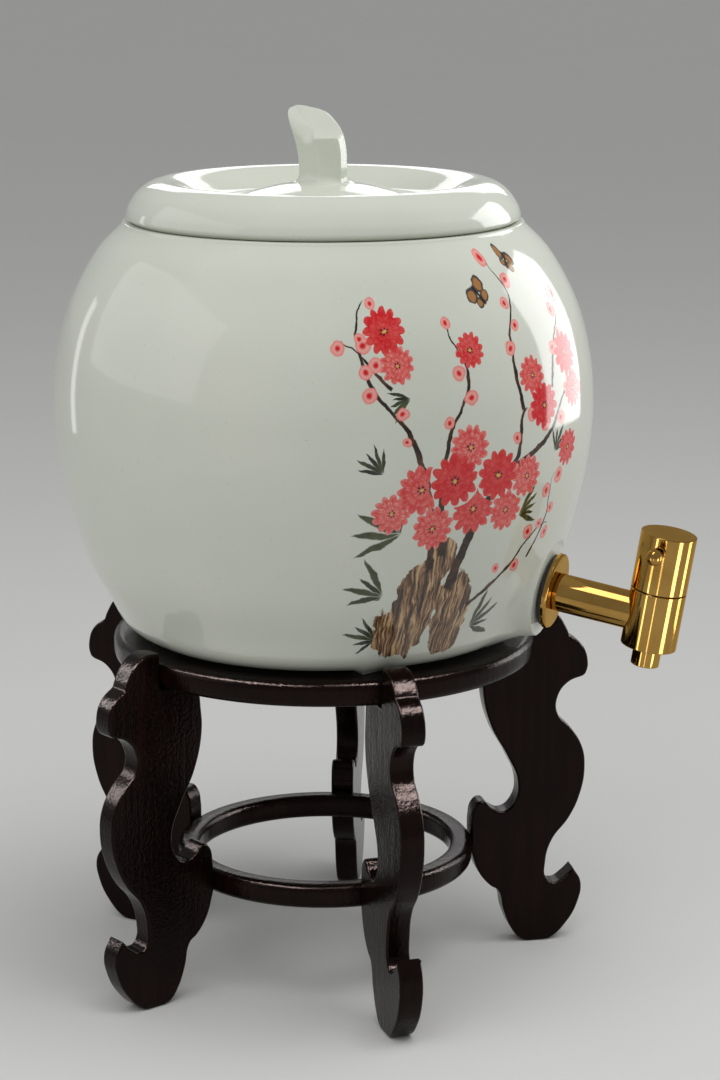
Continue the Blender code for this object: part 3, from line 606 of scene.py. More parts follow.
def makeBrass(name):
    look = brassLook
    material, point, shader = newMaterial(name, Metallic=1.0, Specular_Tint=look["tint"])
    patch = noise(point, look["patchScale"], 4.0, 0.55)
    fine = noise(point, look["grainScale"], 2.0, 0.5)
    feed(shader, Base_Color=mixColour(spread(patch, 0.35, 0.7, 0.0, 0.7), look["pale"], look["deep"]),
         Roughness=spread(patch, 0.35, 0.65, *look["roughness"]),
         Normal=bump(fine, 0.05, look["grainHeight"]))
    return material


# Plain finishes of the hidden pieces: pale and dark colours, roughness, how metallic, noise scale and stretch

plainLooks = {
    "turnedHardwood": ((0.48, 0.31, 0.16), (0.33, 0.19, 0.09), 0.6, 0.0, 90.0, (4, 4, 1)),
    "sealRubber": ((0.035, 0.035, 0.035), (0.018, 0.018, 0.018), 0.65, 0.0, 400.0, (1, 1, 1)),
    "plainSteel": ((0.66, 0.66, 0.64), (0.5, 0.5, 0.49), 0.28, 1.0, 300.0, (1, 1, 1)),
}


def makePlain(name, pale, dark, roughness, metallic, scale, grain):
    material, point, shader = newMaterial(name, Metallic=metallic)
    field = noise(stretched(point, grain), scale, 5.0, 0.6)
    feed(shader, Base_Color=mixColour(spread(field, 0.3, 0.7), pale, dark),
         Roughness=spread(field, 0.3, 0.7, roughness * 0.85, min(1.0, roughness * 1.15)),
         Normal=bump(field, 0.3, 0.0002))
    return material


glaze = makeGlaze("celadonGlaze")
paintedGlaze = makeGlaze("paintedGlaze", paintPot)
lacquer = makeLacquer("darkLacquer")
brass = makeBrass("polishedBrass")
for plainName, plainLook in plainLooks.items():
    makePlain(plainName, *plainLook)
print("materials made")


# Pot: one grid from the middle of its underside, up the wall, over the rim and down to the inside floor

pot = {
    "wall": ((0.08, 0.0), (0.088, 0.0023), (0.0955, 0.0081), (0.10075, 0.0181), (0.11025, 0.036),
             (0.11725, 0.0579), (0.12263, 0.082), (0.125, 0.1061), (0.12325, 0.1311), (0.11675, 0.1559),
             (0.10475, 0.1781), (0.0925, 0.191)),
    "height": 0.1925, "thickness": 0.006, "floor": 0.007, "mouthRadius": 0.078, "rimRound": 0.0016,
    "footWidth": 0.01, "footRecess": 0.0025, "footRound": 0.001,
    "rimIn": 0.0006, "lipIn": 0.004, "lipDrop": 0.001,
    # the inside wall's lowest and highest level, in floors and wall thicknesses from the pot's ends
    "innerSpan": (2.0, 2.6),
    # corners between the inside wall and the floor: how far in, level in floors, and rounding
    "floorCorners": ((0.006, 1.35, 0.004), (0.015, 1.0, 0.004)),
    "front": -90.0, "coarseTurn": 2.0, "fineTurn": 0.4, "fineReach": 30.0,      # degrees
    "coarseRow": 0.0022, "fineRow": 0.0008, "fineTop": 0.066,
}
boss = {
    "tubeOffset": 0.0505, "faceRadius": 0.0222, "edge": 0.0034, "flareReach": 0.03, "flareWidth": 0.02,
    "flareBend": 1.7, "blend": 0.006, "wall": 0.009, "seatRadius": 0.0175, "boreRadius": 0.0083,
    "boreSpan": (-0.02, 0.03), "boreSteps": 64, "leastSlope": 0.3, "facing": 0.5, "faceRise": 2.5,
    "faceReach": 1.6, "flareMost": 3, "seatBlend": 0.12, "innermost": 0.02, "halvings": 26,
}

faceFrame = tapFrame @ Matrix.Translation((0, boss["tubeOffset"], 0))
inFace = np.array(faceFrame.inverted() @ potFrame)        # turns the pot's own places into the face's


def softMax(a, b, reach):
    h = np.clip(0.5 + 0.5 * (a - b) / reach, 0, 1)
    return b * (1 - h) + a * h + reach * h * (1 - h)


def softMin(a, b, reach):
    return -softMax(-a, -b, reach)


def toFace(radius, turn, level):
    # distance behind the boss's face and from its axis, for points round the pot's axis
    points = np.stack([radius * np.cos(turn), radius * np.sin(turn), level], -1)
    local = points @ inFace[:3, :3].T + inFace[:3, 3]
    return local[..., 1], np.hypot(local[..., 0], local[..., 2])


def alongRay(turn):
    # how a point's distance behind the face changes as it moves out from the pot's axis
    return inFace[1, 0] * np.cos(turn) + inFace[1, 1] * np.sin(turn)


def bossRadius(wall, turn, level):
    # how far out the outer surface is from the pot's axis, with the boss blended into the wall
    ray = np.minimum(alongRay(turn), -boss["leastSlope"])
    behind, off = toFace(wall, turn, level)
    faceAt = wall - behind / ray
    low, high = np.full_like(wall, boss["innermost"]), faceAt.copy()
    for step in range(boss["halvings"]):
        middle = (low + high) / 2
        behind, off = toFace(middle, turn, level)
        share = np.clip(behind / boss["flareReach"], 0, boss["flareMost"])
        inside = off < boss["faceRadius"] + boss["flareWidth"] * share ** boss["flareBend"]
        low, high = np.where(inside, middle, low), np.where(inside, high, middle)
    outer = softMax(wall, low, boss["blend"])
    # the flat face, which ends in a rounded edge, and rises clear of the wall outside it
    behind, off = toFace(faceAt, turn, level)
    clear = np.clip(off - boss["faceRadius"], 0, None) * boss["faceRise"]
    near = off < boss["faceReach"] * boss["faceRadius"]
    faced = np.where(near, softMin(faceAt + clear, outer, boss["edge"]), outer)
    return np.where(alongRay(turn) < -boss["facing"], faced, wall)


def seatRadius(inner, turn, level):
    # the inside is flat round the bore, where the gasket and the nut sit
    behind, off = toFace(inner, turn, level)
    flat = inner + (boss["wall"] - behind) / np.minimum(alongRay(turn), -boss["leastSlope"])
    behind, off = toFace(flat, turn, level)
    share = np.clip((off - boss["seatRadius"]) / (boss["seatBlend"] * boss["seatRadius"]), 0, 1)
    near = (alongRay(turn) < -boss["facing"]) & (share < 1)
    return np.where(near, flat * (1 - share) + inner * share, inner)


def potColumns():
    # angles round the pot, close together near the boss
    reach, step = pot["fineReach"], pot["coarseTurn"]
    fine = np.arange(-reach, reach + 1e-6, pot["fineTurn"])
    coarse = np.arange(reach + step, 360 - reach - 1e-6, step)
    return np.radians(pot["front"] + np.concatenate([fine, coarse]))


def wallRows():
    # the wall's points, close together up to the top of the boss
    radii, levels = np.array(smoothThrough(pot["wall"], 24)).T
    length = np.concatenate([[0], np.cumsum(np.hypot(np.diff(radii), np.diff(levels)))])
    bossTop = np.interp(pot["fineTop"], levels, length)
    places = np.concatenate([np.arange(0, bossTop, pot["fineRow"]),
                             np.arange(bossTop, length[-1], pot["coarseRow"]), [length[-1]]])
    return np.interp(places, length, radii), np.interp(places, length, levels)


def shapedRows(shaper, radii, levels, turn):
    # rings up the wall, with the shaper's own form near the tap
    wide, tall = np.meshgrid(turn, levels)
    shaped = shaper(np.repeat(radii[:, None], len(turn), 1), wide, tall)
    return ringsThrough(zip(shaped, levels), turn)


def makePot():
    turn = potColumns()
    radii, levels = wallRows()
    height, thickness, mouth, rim = pot["height"], pot["thickness"], pot["mouthRadius"], pot["rimRound"]
    foot, recess, floor, footRound = pot["wall"][0][0], pot["footRecess"], pot["floor"], pot["footRound"]
    inFoot = foot - pot["footWidth"]
    under = rounded([(0, recess, 0), (inFoot - footRound, recess, footRound), (inFoot, 0, footRound),
                     (foot, 0, 0)])
    edge = radii[-1]
    top = rounded([(edge, levels[-1], 0), (edge - pot["rimIn"], height, rim), (mouth, height, rim),
                   (mouth, height - thickness, rim),
                   (edge - pot["lipIn"], height - thickness - pot["lipDrop"], 0)])
    # the inside lies a wall's thickness in from the outside
    first, last = pot["innerSpan"]
    keep = (levels > first * floor) & (levels < height - last * thickness)
    slopeR, slopeZ = np.gradient(radii), np.gradient(levels)
    size = np.hypot(slopeR, slopeZ)
    innerR = (radii - slopeZ / size * thickness)[keep][::-1]
    innerZ = (levels + slopeR / size * thickness)[keep][::-1]
    lowest = innerR[-1]
    corners = [(lowest - back, high * floor, arc) for back, high, arc in pot["floorCorners"]]
    bottom = rounded([(lowest, innerZ[-1], 0), *corners, (0, floor, 0)])
    rings = ringsThrough(under[:-1], turn) + shapedRows(bossRadius, radii, levels, turn)
    rings += ringsThrough(top[1:], turn) + shapedRows(seatRadius, innerR, innerZ, turn)
    rings += ringsThrough(bottom[1:], turn)
    piece = newPiece("glazedPot", ringsMesh("glazedPot", rings), potFrame)
    cutBy(piece, rodPiece("bore", boss["boreRadius"], *boss["boreSpan"], boss["boreSteps"],
                          faceFrame @ alongPipe))
    tidyMesh(piece.data, 40)
    return dress(piece, "pot", "glaze", paintedGlaze, "pot")


glazedPot = makePot()
print("pot made:", len(glazedPot.data.polygons), "faces")


# Lid: one grid from the middle of its underside, round the collar and the brim, and up the stalk

lid = {
    "radius": 0.0903, "rise": 0.018, "thickness": 0.005, "collarDepth": 0.01, "collarWall": 0.004,
    "collarClearance": 0.0025, "collarRound": 0.0004, "roofRound": 0.002, "gap": 0.0003, "steps": 192,
    "topShares": (
        (0.98, 0.0), (1.0, 0.09), (1.0, 0.2), (0.985, 0.4), (0.945, 0.69), (0.885, 0.91), (0.81, 1.0),
        (0.735, 0.93), (0.665, 0.73), (0.6, 0.54), (0.53, 0.49), (0.45, 0.56), (0.34, 0.73), (0.2, 0.88),
        (0.08, 0.93), (0.0, 0.935)),
    "collarTop": 6,        # the row of topShares above the collar
}
stalk = {
    "height": 0.052, "width": 0.0218, "depth": 0.018, "lean": 0.0056, "turn": -69.0,
    "leftShares": ((-1.0, 0.1), (-1.0, 0.2), (-1.0, 0.47), (-1.09, 0.63)),
    "tipShares": ((-0.82, 0.8), (-0.99, 0.91), (-0.96, 0.965), (-0.75, 0.993)),
    "rightTipShares": ((-0.5, 1.0), (-0.12, 0.985)),
    "rightShares": ((0.1, 0.93), (0.59, 0.83), (0.86, 0.73), (0.98, 0.6), (1.0, 0.45), (1.0, 0.2),
                    (1.0, 0.1)),
    # section seen from above, its front at -1: left facet, rounded rib, right facet and back
    "planShares": (
        (-1.0, 0.2), (-0.64, -0.3), (-0.32, -0.7), (-0.24, -0.86), (-0.1, -0.98), (0.2, -1.04),
        (0.55, -1.05), (0.72, -1.0), (0.79, -0.88), (0.92, -0.62), (1.0, -0.4), (1.0, 0.3), (0.96, 0.8),
        (0.72, 0.98), (0.0, 1.02), (-0.72, 0.98), (-0.97, 0.78)),
    # the cut's level in each direction (degrees from the right, seen from above), and how soft its edge is
    "cutShares": (
        (-90, 0.72, 0.0), (-50, 0.725, 0.0), (-30, 0.755, 0.0), (-10, 0.81, 0.0), (20, 0.885, 0.0),
        (45, 0.945, 0.0), (75, 0.975, 0.0), (110, 0.98, 0.0), (135, 0.96, 0.1), (155, 0.89, 0.5),
        (175, 0.78, 1.0), (195, 0.7, 1.0), (225, 0.685, 1.0), (245, 0.7, 0.8), (258, 0.715, 0.2),
        (270, 0.72, 0.0)),
    "sagShare": 0.03, "edge": 0.0009, "cutSoftening": 4, "softening": 60, "edgePull": 0.5, "facePull": 0.25,
    # the foot's spread and how much it waves: for each wave how many, where it starts and its size
    "footShare": 0.2, "footWidth": 0.0034, "footHeight": 0.0036, "waveRise": 0.6,
    "footWaves": ((3, 0.9, 0.22), (5, 2.2, 0.16), (9, 0.4, 0.1)), "blendRadius": 0.024,
    # rings across the dish, round the foot's fillet, up the sides, over the edge and across the cut
    "groundRings": 22, "filletRings": 8, "sideRings": 35, "edgeRings": 7, "faceRings": 12, "firmRings": 10,
}


def stalkPlan(turn):
    # the section's distance from its middle, in shares of half the width and depth, in each direction
    plan = stalk["planShares"]
    points = np.array(smoothThrough(plan[-2:] + plan + plan[:2], 10))
    angles = np.unwrap(np.arctan2(points[:, 1], points[:, 0]))
    reach = np.hypot(points[:, 0], points[:, 1])
    first = np.argmin(np.abs(angles - angles[0] - 0.4))
    span = (angles >= angles[first]) & (angles <= angles[first] + 2 * math.pi)
    wrapped = np.mod(angles[span], 2 * math.pi)
    order = np.argsort(wrapped)
    return np.interp(turn, wrapped[order], reach[span][order], period=2 * math.pi)


def stalkSides(level):
    # how far left and right the stalk reaches at each level
    half, lean, tall = stalk["width"] / 2, stalk["lean"], stalk["height"]
    left = [(x * half, z * tall) for x, z in stalk["leftShares"]]
    left += [(x * half - lean, z * tall) for x, z in stalk["tipShares"] + stalk["rightTipShares"][:1]]
    right = [(x * half, z * tall) for x, z in stalk["rightShares"]][::-1]
    right += [(x * half - lean, z * tall) for x, z in stalk["rightTipShares"][::-1]]
    sides = []
    for side in (left, right):
        x, z = np.array(smoothThrough(side, 12)).T
        order = np.argsort(z)
        sides.append(np.interp(level, z[order], x[order]))
    return sides


def softened(grid, soft):
    # the cut face smoothed all over, and its edge where it runs softly into the stalk's left
    first = stalk["groundRings"] + stalk["filletRings"] + stalk["firmRings"]
    face = len(grid) - stalk["faceRings"]
    for step in range(stalk["softening"]):
        along = (grid[:-2] + grid[2:]) / 2 - grid[1:-1]
        grid[first:-1] += stalk["edgePull"] * soft * along[first - 1:]
        near = (np.roll(grid[face:-1], 1, 1) + np.roll(grid[face:-1], -1, 1)) / 2 - grid[face:-1]
        grid[face:-1] += stalk["facePull"] * (near + along[face - 1:])
    return grid


def stalkRings(dishLevel):
    # rings from the dish, through the fillet at the foot and up the stalk to its slanting top
    turn = np.linspace(0, 2 * math.pi, lid["steps"], endpoint=False)
    reach = stalkPlan(turn)
    planX, planY = reach * np.cos(turn), reach * np.sin(turn)
    depth = planY * stalk["depth"] / 2
    directions, cutShares, softness = np.array(stalk["cutShares"]).T
    cut = np.interp(np.degrees(turn), directions, cutShares, period=360) * stalk["height"]
    for step in range(stalk["cutSoftening"]):
        cut = (np.roll(cut, 1) + cut + np.roll(cut, -1)) / 3
    soft = np.interp(np.degrees(turn), directions, softness, period=360)[:, None]
    edge = stalk["edge"]

    def section(level):
        left, right = stalkSides(level)
        return np.stack([(left + right) / 2 + planX * (right - left) / 2, depth], -1)

    waves = sum(size * np.sin(count * turn + start) for count, start, size in stalk["footWaves"])
    width = stalk["footWidth"] * (1 + waves)
    rise = stalk["footHeight"] * (1 + stalk["waveRise"] * waves)
    base = section(np.full_like(turn, stalk["footShare"] * stalk["height"]))
    outward = base / np.linalg.norm(base, axis=1)[:, None]
    foot = base + outward * width[:, None]
    circle = stalk["blendRadius"] * np.stack([np.cos(turn), np.sin(turn)], -1)
    rings = []
    for share in np.linspace(1, 0, stalk["groundRings"]):
        place = circle * share + foot * (1 - share)
        rings.append((place, dishLevel(np.linalg.norm(place, axis=1))))
    ground = rings[-1][1]
    for angle in np.linspace(0, math.pi / 2, stalk["filletRings"] + 1)[1:]:
        place = base + outward * (width * (1 - math.sin(angle)))[:, None]
        rings.append((place, ground + rise * (1 - math.cos(angle))))
    start = ground + rise
    for share in np.linspace(0, 1, stalk["sideRings"] + 1)[1:]:
        level = start + (cut - edge - start) * share
        rings.append((section(level), level))
    top = section(cut)
    middle = top.mean(0)
    inward = middle - top
    inward /= np.linalg.norm(inward, axis=1)[:, None]
    for angle in np.linspace(0, math.pi / 2, stalk["edgeRings"] + 1)[1:]:
        place = top + inward * edge * (1 - math.cos(angle))
        rings.append((place, cut - edge * (1 - math.sin(angle))))
    # the cut face lies on the plane that fits its edge best, dished a little towards its middle
    rim, rimLevel = rings[-1]
    terms = np.column_stack([rim, np.ones(len(rim))])
    plane = np.linalg.lstsq(terms, rimLevel, rcond=None)[0]
    off = rimLevel - terms @ plane
    sag = stalk["sagShare"] * stalk["height"]
    for share in np.linspace(0, 1, stalk["faceRings"] + 2)[1:-1]:
        place = rim * (1 - share) + middle * share
        level = place @ plane[:2] + plane[2] + off * (1 - share) ** 2 - sag * (1 - (1 - share) ** 2)
        rings.append((place, level))
    peak = middle @ plane[:2] + plane[2] - sag
    grid = softened(np.array([np.column_stack(ring) for ring in rings]), soft)
    spin = np.array(Matrix.Rotation(math.radians(stalk["turn"]), 2)).T
    grid[..., :2] = grid[..., :2] @ spin
    return [*grid, [(*(middle @ spin), peak)]]


def makeLid():
    lidFrame = Matrix.Translation((axisX, axisY, rimTop + lid["gap"]))
    turn = np.linspace(0, 2 * math.pi, lid["steps"], endpoint=False) + math.radians(stalk["turn"])
    top = [(r * lid["radius"], z * lid["rise"]) for r, z in lid["topShares"]]
    fine = np.array(smoothThrough(top, 8))
    outer = pot["mouthRadius"] - lid["collarClearance"]
    inner = outer - lid["collarWall"]
    deep, edge = -lid["collarDepth"], lid["collarWall"] / 4
    under = [(r, z - lid["thickness"]) for r, z in top if r < inner - lid["thickness"]]
    roof = top[lid["collarTop"]][1] - 2 * lid["thickness"]
    collar = rounded([(*fine[0], 0), (outer, 0, lid["collarRound"]), (outer, deep, edge),
                      (inner, deep, edge), (inner, roof, lid["roofRound"]), (*under[0], 0)])
    below = [tuple(point) for point in smoothThrough(under, 4)]
    above = [tuple(point) for point in fine if point[0] > stalk["blendRadius"]]
    rings = ringsThrough((collar[1:-1] + below)[::-1] + above, turn)
    dish = fine[np.argsort(fine[:, 0])].T
    rings += stalkRings(lambda radius: np.interp(radius, *dish))
    piece = newPiece("domedLid", ringsMesh("domedLid", rings), lidFrame)
    return dress(piece, "lid", "glaze", glaze, "lid")


domedLid = makeLid()
print("lid made:", len(domedLid.data.polygons), "faces")


# Stand

stand = {
    # node: name, outer radius, width, height, rounding of the edges, and level of the top
    "rings": {
        "top_ring": ("topRing", 0.0995, 0.0375, 0.0118, 0.0042, standTop),
        "stretcher_ring": ("stretcherRing", 0.070715, 0.0105, 0.0116, 0.004, 0.059035),
    },
    "ringSteps": 192, "ringHeight": 0.0118, "gap": 0.0003,
}
leg = {
    "angles": (-59.0, 14.0, 84.0, 150.0, 218.6), "lifts": (0.0, 0.0, 0.0, 0.0, 0.007),
    "base": 0.0998, "depth": 0.057, "thickness": 0.0112, "edge": 0.0013,
    "liftShares": ((0.12, 0.26, 0.94, 1.06), (0.0, 1.0, 1.0, 0.0)),
    # (out from the base, up) in shares of depth and of the stand's height, and True at a corner
    "outerShares": (
        (0.0, 1.029, True), (0.12, 1.03), (0.216, 1.013), (0.305, 0.968), (0.335, 0.943, True),
        (0.44, 0.915), (0.493, 0.875), (0.481, 0.825), (0.456, 0.817, True), (0.33, 0.8), (0.24, 0.757),
        (0.24, 0.707), (0.363, 0.658), (0.458, 0.603), (0.488, 0.535), (0.447, 0.45), (0.356, 0.381),
        (0.207, 0.313), (0.153, 0.246), (0.168, 0.191), (0.235, 0.18), (0.335, 0.2), (0.4, 0.222, True),
        (0.47, 0.176), (0.447, 0.115), (0.344, 0.049), (0.2, 0.004), (0.14, 0.0, True)),
    "innerShares": (
        (0.0, 0.0, True), (-0.06, 0.008), (-0.137, 0.04), (-0.207, 0.097), (-0.262, 0.165), (-0.33, 0.182),
        (-0.43, 0.225), (-0.505, 0.298, True), (-0.505, 0.383, True), (-0.474, 0.432), (-0.407, 0.448),
        (-0.323, 0.424), (-0.225, 0.412), (-0.119, 0.445), (-0.098, 0.503), (-0.184, 0.578),
        (-0.335, 0.676), (-0.41, 0.782), (-0.4, 0.86)),
    "shoulderShare": -0.38,
}


def makeRing(node, name, outer, width, height, edge, top):
    inner, low = outer - width, top - height
    corners = [(outer, top, edge), (outer, low, edge), (inner, low, edge), (inner, top, edge)]
    mesh = turnedMesh(name, rounded(corners, 6, True), stand["ringSteps"], True)
    return dress(evenNormals(newPiece(name, mesh, standFrame)), "stand", "lacquer", lacquer, node)


def legOutline(lift):
    base, depth = leg["base"], leg["depth"]
    shoulderLevel = standTop - stand["ringHeight"] - stand["gap"]

    def knot(raised, share, level, corner=False):
        height = level * standTop + raised * float(np.interp(level, *leg["liftShares"]))
        return (base + share * depth, height, corner)

    outer = [knot(lift, *row) for row in leg["outerShares"]]
    inner = [knot(0, *row) for row in leg["innerShares"]]
    shoulder = base + leg["shoulderShare"] * depth
    return [(base, shoulderLevel, True)] + outer + inner + [(shoulder, shoulderLevel, True)]


def makeLegs():
    upright = Matrix.Rotation(math.radians(90), 4, "X")
    for number, (angle, lift) in enumerate(zip(leg["angles"], leg["lifts"]), start=1):
        turn = standFrame @ Matrix.Rotation(math.radians(angle), 4, "Z")
        mesh = boardMesh(f"carvedLeg{number}", legOutline(lift), leg["thickness"] / 2, leg["edge"], 8)
        piece = evenNormals(newPiece(f"carvedLeg{number}", mesh, turn @ upright))
        dress(piece, "stand", "lacquer", lacquer, f"leg_{number}")


for ringNode, ringSizes in stand["rings"].items():
    makeRing(ringNode, *ringSizes)
makeLegs()
print("stand made")


# Tap

tap = {
    "gap": 0.0003, "edge": 0.0005, "steps": 96,
    "tubeRadius": 0.01275, "above": 0.01265, "below": 0.0142, "capHeight": 0.0265, "capRoof": 0.003,
    "gasketThickness": 0.0012, "escutcheonRadius": 0.0175, "escutcheonThickness": 0.0025,
    "escutcheonEdges": (0.0002, 0.0012),        # at the back and at the front
    "pipeRadius": 0.00875, "pipeBore": 0.0045, "pipeInTube": 0.0035, "shankRadius": 0.008,
    "shankEnd": 0.0213, "plugRadius": 0.007, "plugBelow": 0.008, "plugAbove": 0.008, "portRadius": 0.003,
    "stemRadius": 0.004, "glandRadius": 0.0093, "glandStandOut": 0.0032,
    "nozzleRadius": 0.0065, "nozzleLength": 0.0091, "nozzleBore": 0.0044, "spigotRadius": 0.0057,
    "spigotLength": 0.0045,
}
lever = {
    "drop": 0.0063, "radius": 0.0018, "reach": 0.023, "ballRadius": 0.0037, "inStem": 0.0025,
    "collarRadius": 0.0028, "collarLength": 0.0016, "collarEdges": (0.0004, 0.0006),
}


def tapPiece(name, node, corners, matrix, loop=True, body="pot"):
    mesh = turnedMesh(name, rounded(corners, 4, loop), tap["steps"], loop)
    return dress(evenNormals(newPiece(name, mesh, matrix)), body, "brass", brass, node)


def makeTap():
    gap, edge, radius = tap["gap"], tap["edge"], tap["tubeRadius"]
    pipeFrame = faceFrame @ alongPipe
    back = -2 * gap - tap["gasketThickness"]
    front = back - tap["escutcheonThickness"]
    plate, hole = tap["escutcheonRadius"], tap["shankRadius"] + gap
    backEdge, frontEdge = tap["escutcheonEdges"]
    tapPiece("escutcheonPlate", "escutcheon",
             [(plate, back, backEdge), (plate, front, frontEdge), (hole, front, 0), (hole, back, 0)],
             pipeFrame)
    shank, pipe, bore, end = tap["shankRadius"], tap["pipeRadius"], tap["pipeBore"], tap["shankEnd"]
    farEnd = -boss["tubeOffset"] + radius - tap["pipeInTube"]
    tapPiece("inletPipe", "inlet_pipe",
             [(shank, end, edge), (shank, front - gap, 0), (pipe, front - gap, edge), (pipe, farEnd, 0),
              (bore, farEnd, 0), (bore, end, edge)], pipeFrame)
    seam, foot = tap["above"], -tap["below"]
    # the plug and the gland sit with a little more room than the other pieces
    gland, plug = (tap[name] + 1.3 * gap for name in ("glandRadius", "plugRadius"))
    low, high, port = -tap["plugBelow"] - gap, tap["plugAbove"], tap["portRadius"]
    seat = foot + tap["spigotLength"] + gap
    socket = tap["spigotRadius"] + gap
    tapPiece("valveBody", "valve_body",
             [(gland, seam, 0), (radius, seam, edge), (radius, foot, edge), (socket, foot, 0),
              (socket, seat, 0), (port, seat, 0), (port, low, 0), (plug, low, 0), (plug, high, 0),
              (gland, high, 0)], tapFrame)
    spigot, nozzle, mouth = tap["spigotRadius"], tap["nozzleRadius"], tap["nozzleBore"]
    end = foot - tap["nozzleLength"]
    tapPiece("spoutNozzle", "nozzle",
             [(spigot, seat - gap, 0), (spigot, foot - gap, 0), (nozzle, foot - gap, 0), (nozzle, end, edge),
              (mouth, end, edge), (mouth, seat - gap, 0)], tapFrame)


def makeHandle():
    gap, edge, radius = tap["gap"], tap["edge"], tap["tubeRadius"]
    foot = tap["above"] + gap
    top = foot + tap["capHeight"]
    hollow = tap["glandRadius"] + 3 * gap
    hollowTop = tap["above"] + tap["glandStandOut"] + 2 * gap
    stem, stemTop = tap["stemRadius"] + gap, top - tap["capRoof"]
    leverFrame = tapFrame @ Matrix.Translation((0, 0, top - lever["drop"])) @ alongLever
    profile = rounded([(0, top, 0), (radius, top, edge), (radius, foot, edge), (hollow, foot, 0),
                       (hollow, hollowTop, 0), (stem, hollowTop, 0), (stem, stemTop, 0), (0, stemTop, 0)])
    cap = newPiece("turningCap", turnedMesh("turningCap", profile, tap["steps"]), tapFrame)
    start = tap["stemRadius"] - lever["inStem"]
    rod, ball, reach = lever["radius"], lever["ballRadius"], lever["reach"]
    neck, end = rod + gap, reach + ball / 3
    cutBy(cap, rodPiece("leverHole", neck, start, 2 * radius, 32, leverFrame))
    tidyMesh(cap.data)
    dress(evenNormals(cap), "tap_handle", "brass", brass, "tap_cap")
    tapPiece("leverRod", "lever_rod",
             [(0, end, 0), (rod, end, 0), (rod, start, 0), (0, start, 0)], leverFrame, False, "tap_handle")
    near, collar = radius + gap, lever["collarRadius"]
    far = near + lever["collarLength"]
    inEdge, outEdge = lever["collarEdges"]
    tapPiece("leverCollar", "lever_collar",
             [(neck, far, inEdge), (collar, far, outEdge), (collar, near, 0), (neck, near, 0)],
             leverFrame, True, "tap_handle")
    # the ball's outline runs from its far end to the neck, and has a hole for the rod
    turn = np.linspace(math.asin(neck / ball), math.pi, 40)
    arc = [(ball * math.sin(a), reach - ball * math.cos(a)) for a in turn]
    outline = [(0, reach + ball)] + arc[-2::-1] + [(neck, end + gap), (0, end + gap)]
    mesh = turnedMesh("leverBall", outline, tap["steps"])
    dress(newPiece("leverBall", mesh, leverFrame), "tap_handle", "brass", brass, "lever_ball")


makeTap()
makeHandle()
print("tap made")


# Pieces that keep their CAD mesh, by finish

kept = {
    "turnedHardwood": [f"{row}_dowel_{number}" for row in ("upper", "lower") for number in range(1, 6)],
    "sealRubber": ["outer_gasket", "inner_gasket", "plug_o_ring_upper", "plug_o_ring_lower"],
    "plainSteel": ["inner_washer"],
    "polishedBrass": ["lock_nut", "gland_nut", "valve_plug"],
}
for finish, names in kept.items():
    for name in names:
        frame["nodes"][name].data.materials[0] = bpy.data.materials[finish]
print("hidden pieces dressed")


# Stage, lights and camera

stage = {"floor": (0.78, 0.78, 0.77), "floorHalf": 30.0, "worldStrength": 0.36, "lampCentre": 0.22}
view = {"place": (-1.1991, -0.4349, 0.5028), "tilt": 76.96, "heading": -69.75, "lens": 93.33, "sensor": 36.0}
lampSets = {
    # what the lamps light, and for each: degrees round from the camera (to the right), degrees up, distance,
    # width, height and brightness
    "everything": {
        "overhead": (60, 68, 1.5, 1.2, 1.2, 2.3),
        "frontFill": (-30, 46, 1.7, 1.7, 1.2, 1.2),
    },
    "pot and stand": {
        "rightSoftbox": (118, 13, 1.25, 0.72, 0.95, 4.2),
        "leftSoftbox": (-84, 24, 1.4, 1.7, 0.95, 0.7),
        "leftStrip": (-126, 2, 1.3, 0.1, 0.7, 1.6),
        "backlight": (176, 24, 1.6, 1.1, 0.5, 2.0),
    },
    "stand": {
        "woodTopLeft": (-52, 48, 1.3, 1.3, 0.3, 40.0),
        "woodTopRight": (50, 56, 1.3, 0.9, 0.3, 45.0),
        "woodLeft": (-104, 24, 1.3, 0.14, 0.5, 30.0),
        "woodRight": (98, 20, 1.3, 0.14, 0.6, 40.0),
    },
    "tap": {
        "tapTop": (-36, 74, 0.45, 0.12, 0.26, 4.5),
        "tapLeft": (-46, -12, 0.36, 0.035, 0.22, 4.5),
        "tapFront": (-8, -14, 0.36, 0.02, 0.22, 3.5),
        "tapRight": (54, -16, 0.36, 0.09, 0.2, 6.5),
        "tapFarRight": (104, -8, 0.36, 0.09, 0.22, 6.0),
    },
}
litFinishes = {"pot and stand": [lacquer, glaze, paintedGlaze], "stand": [lacquer], "tap": [brass]}


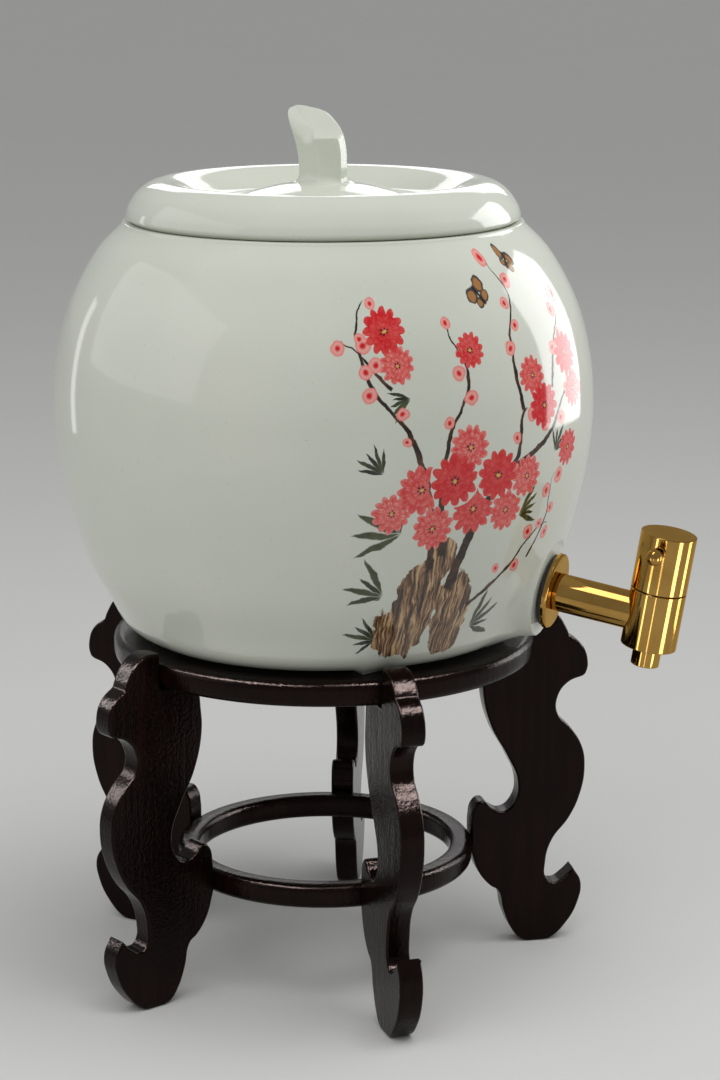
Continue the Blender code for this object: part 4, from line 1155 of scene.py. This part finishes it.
def makeStage():
    mesh = bpy.data.meshes.new("floor")
    half = stage["floorHalf"]
    corners = [(x * half, y * half, 0) for x, y in ((-1, -1), (1, -1), (1, 1), (-1, 1))]
    mesh.from_pydata(corners, [], [(0, 1, 2, 3)])
    floor = newObject("floor", mesh)
    material, point, shader = newMaterial("paleFloor", Roughness=0.85)
    pale = stage["floor"]
    brighter = tuple(value * 1.03 for value in pale)
    feed(shader, Base_Color=mixColour(noise(point, 3.0, 3.0, 0.5), pale, brighter))
    floor.data.materials.append(material)
    world = bpy.data.worlds.new("studio")
    world.use_nodes = True
    sky = world.node_tree.nodes["Background"]
    sky.inputs["Strength"].default_value = stage["worldStrength"]
    # the camera sees the sky as bright as the far floor, so that low views have no hard horizon
    direct = world.node_tree.nodes.new("ShaderNodeLightPath").outputs["Is Camera Ray"]
    feed(sky, Color=mixColour(direct, (1, 1, 1), pale))
    bpy.context.scene.world = world


def around(centre, side, high, distance):
    # a place round the object, counted from the camera's direction
    toCamera = Vector(view["place"]) - centre
    turn = math.atan2(toCamera.y, toCamera.x) + math.radians(side)
    rise = math.radians(high)
    ahead = Vector((math.cos(turn), math.sin(turn), 0)) * math.cos(rise)
    return centre + distance * (ahead + Vector((0, 0, math.sin(rise))))


def piecesOf(name, materials):
    group = bpy.data.collections.new(name)
    for piece in list(bpy.context.scene.objects):
        if piece.type == "MESH" and any(material in materials for material in piece.data.materials):
            group.objects.link(piece)
    return group


def makeLamp(name, part, group, centre, side, high, distance, width, height, brightness):
    light = bpy.data.lights.new(name, "AREA")
    light.shape = "RECTANGLE"
    light.size, light.size_y = width, height
    light.energy = brightness * math.pi * width * height
    lamp = newObject(name, light)
    lamp.visible_camera = False
    lamp.visible_glossy = part != "everything"     # the soft lamps for everything make no reflections
    lamp.visible_diffuse = part != "stand"         # the wood's strips show in its gloss alone
    lamp.location = around(centre, side, high, distance)
    lamp.rotation_euler = (centre - lamp.location).to_track_quat("-Z", "Y").to_euler()
    if group:
        lamp.light_linking.receiver_collection = group


def makeLamps():
    for part, lamps in lampSets.items():
        centre = Vector(tapJoint["pos_m"] if part == "tap" else (axisX, axisY, stage["lampCentre"]))
        group = piecesOf(part, litFinishes[part]) if part in litFinishes else None
        for name, values in lamps.items():
            makeLamp(name, part, group, centre, *values)


def makeCamera():
    lens = bpy.data.cameras.new("photoView")
    lens.sensor_fit = "VERTICAL"
    lens.sensor_height = view["sensor"]
    lens.lens = view["lens"]
    lens.clip_start = 0.05
    lens.clip_end = 100
    camera = newObject("photoView", lens)
    camera.location = view["place"]
    camera.rotation_euler = (math.radians(view["tilt"]), 0, math.radians(view["heading"]))
    bpy.context.scene.camera = camera


makeStage()
makeLamps()
makeCamera()
bpy.context.scene.view_settings.view_transform = "Standard"
print("stage, lamps and camera set")
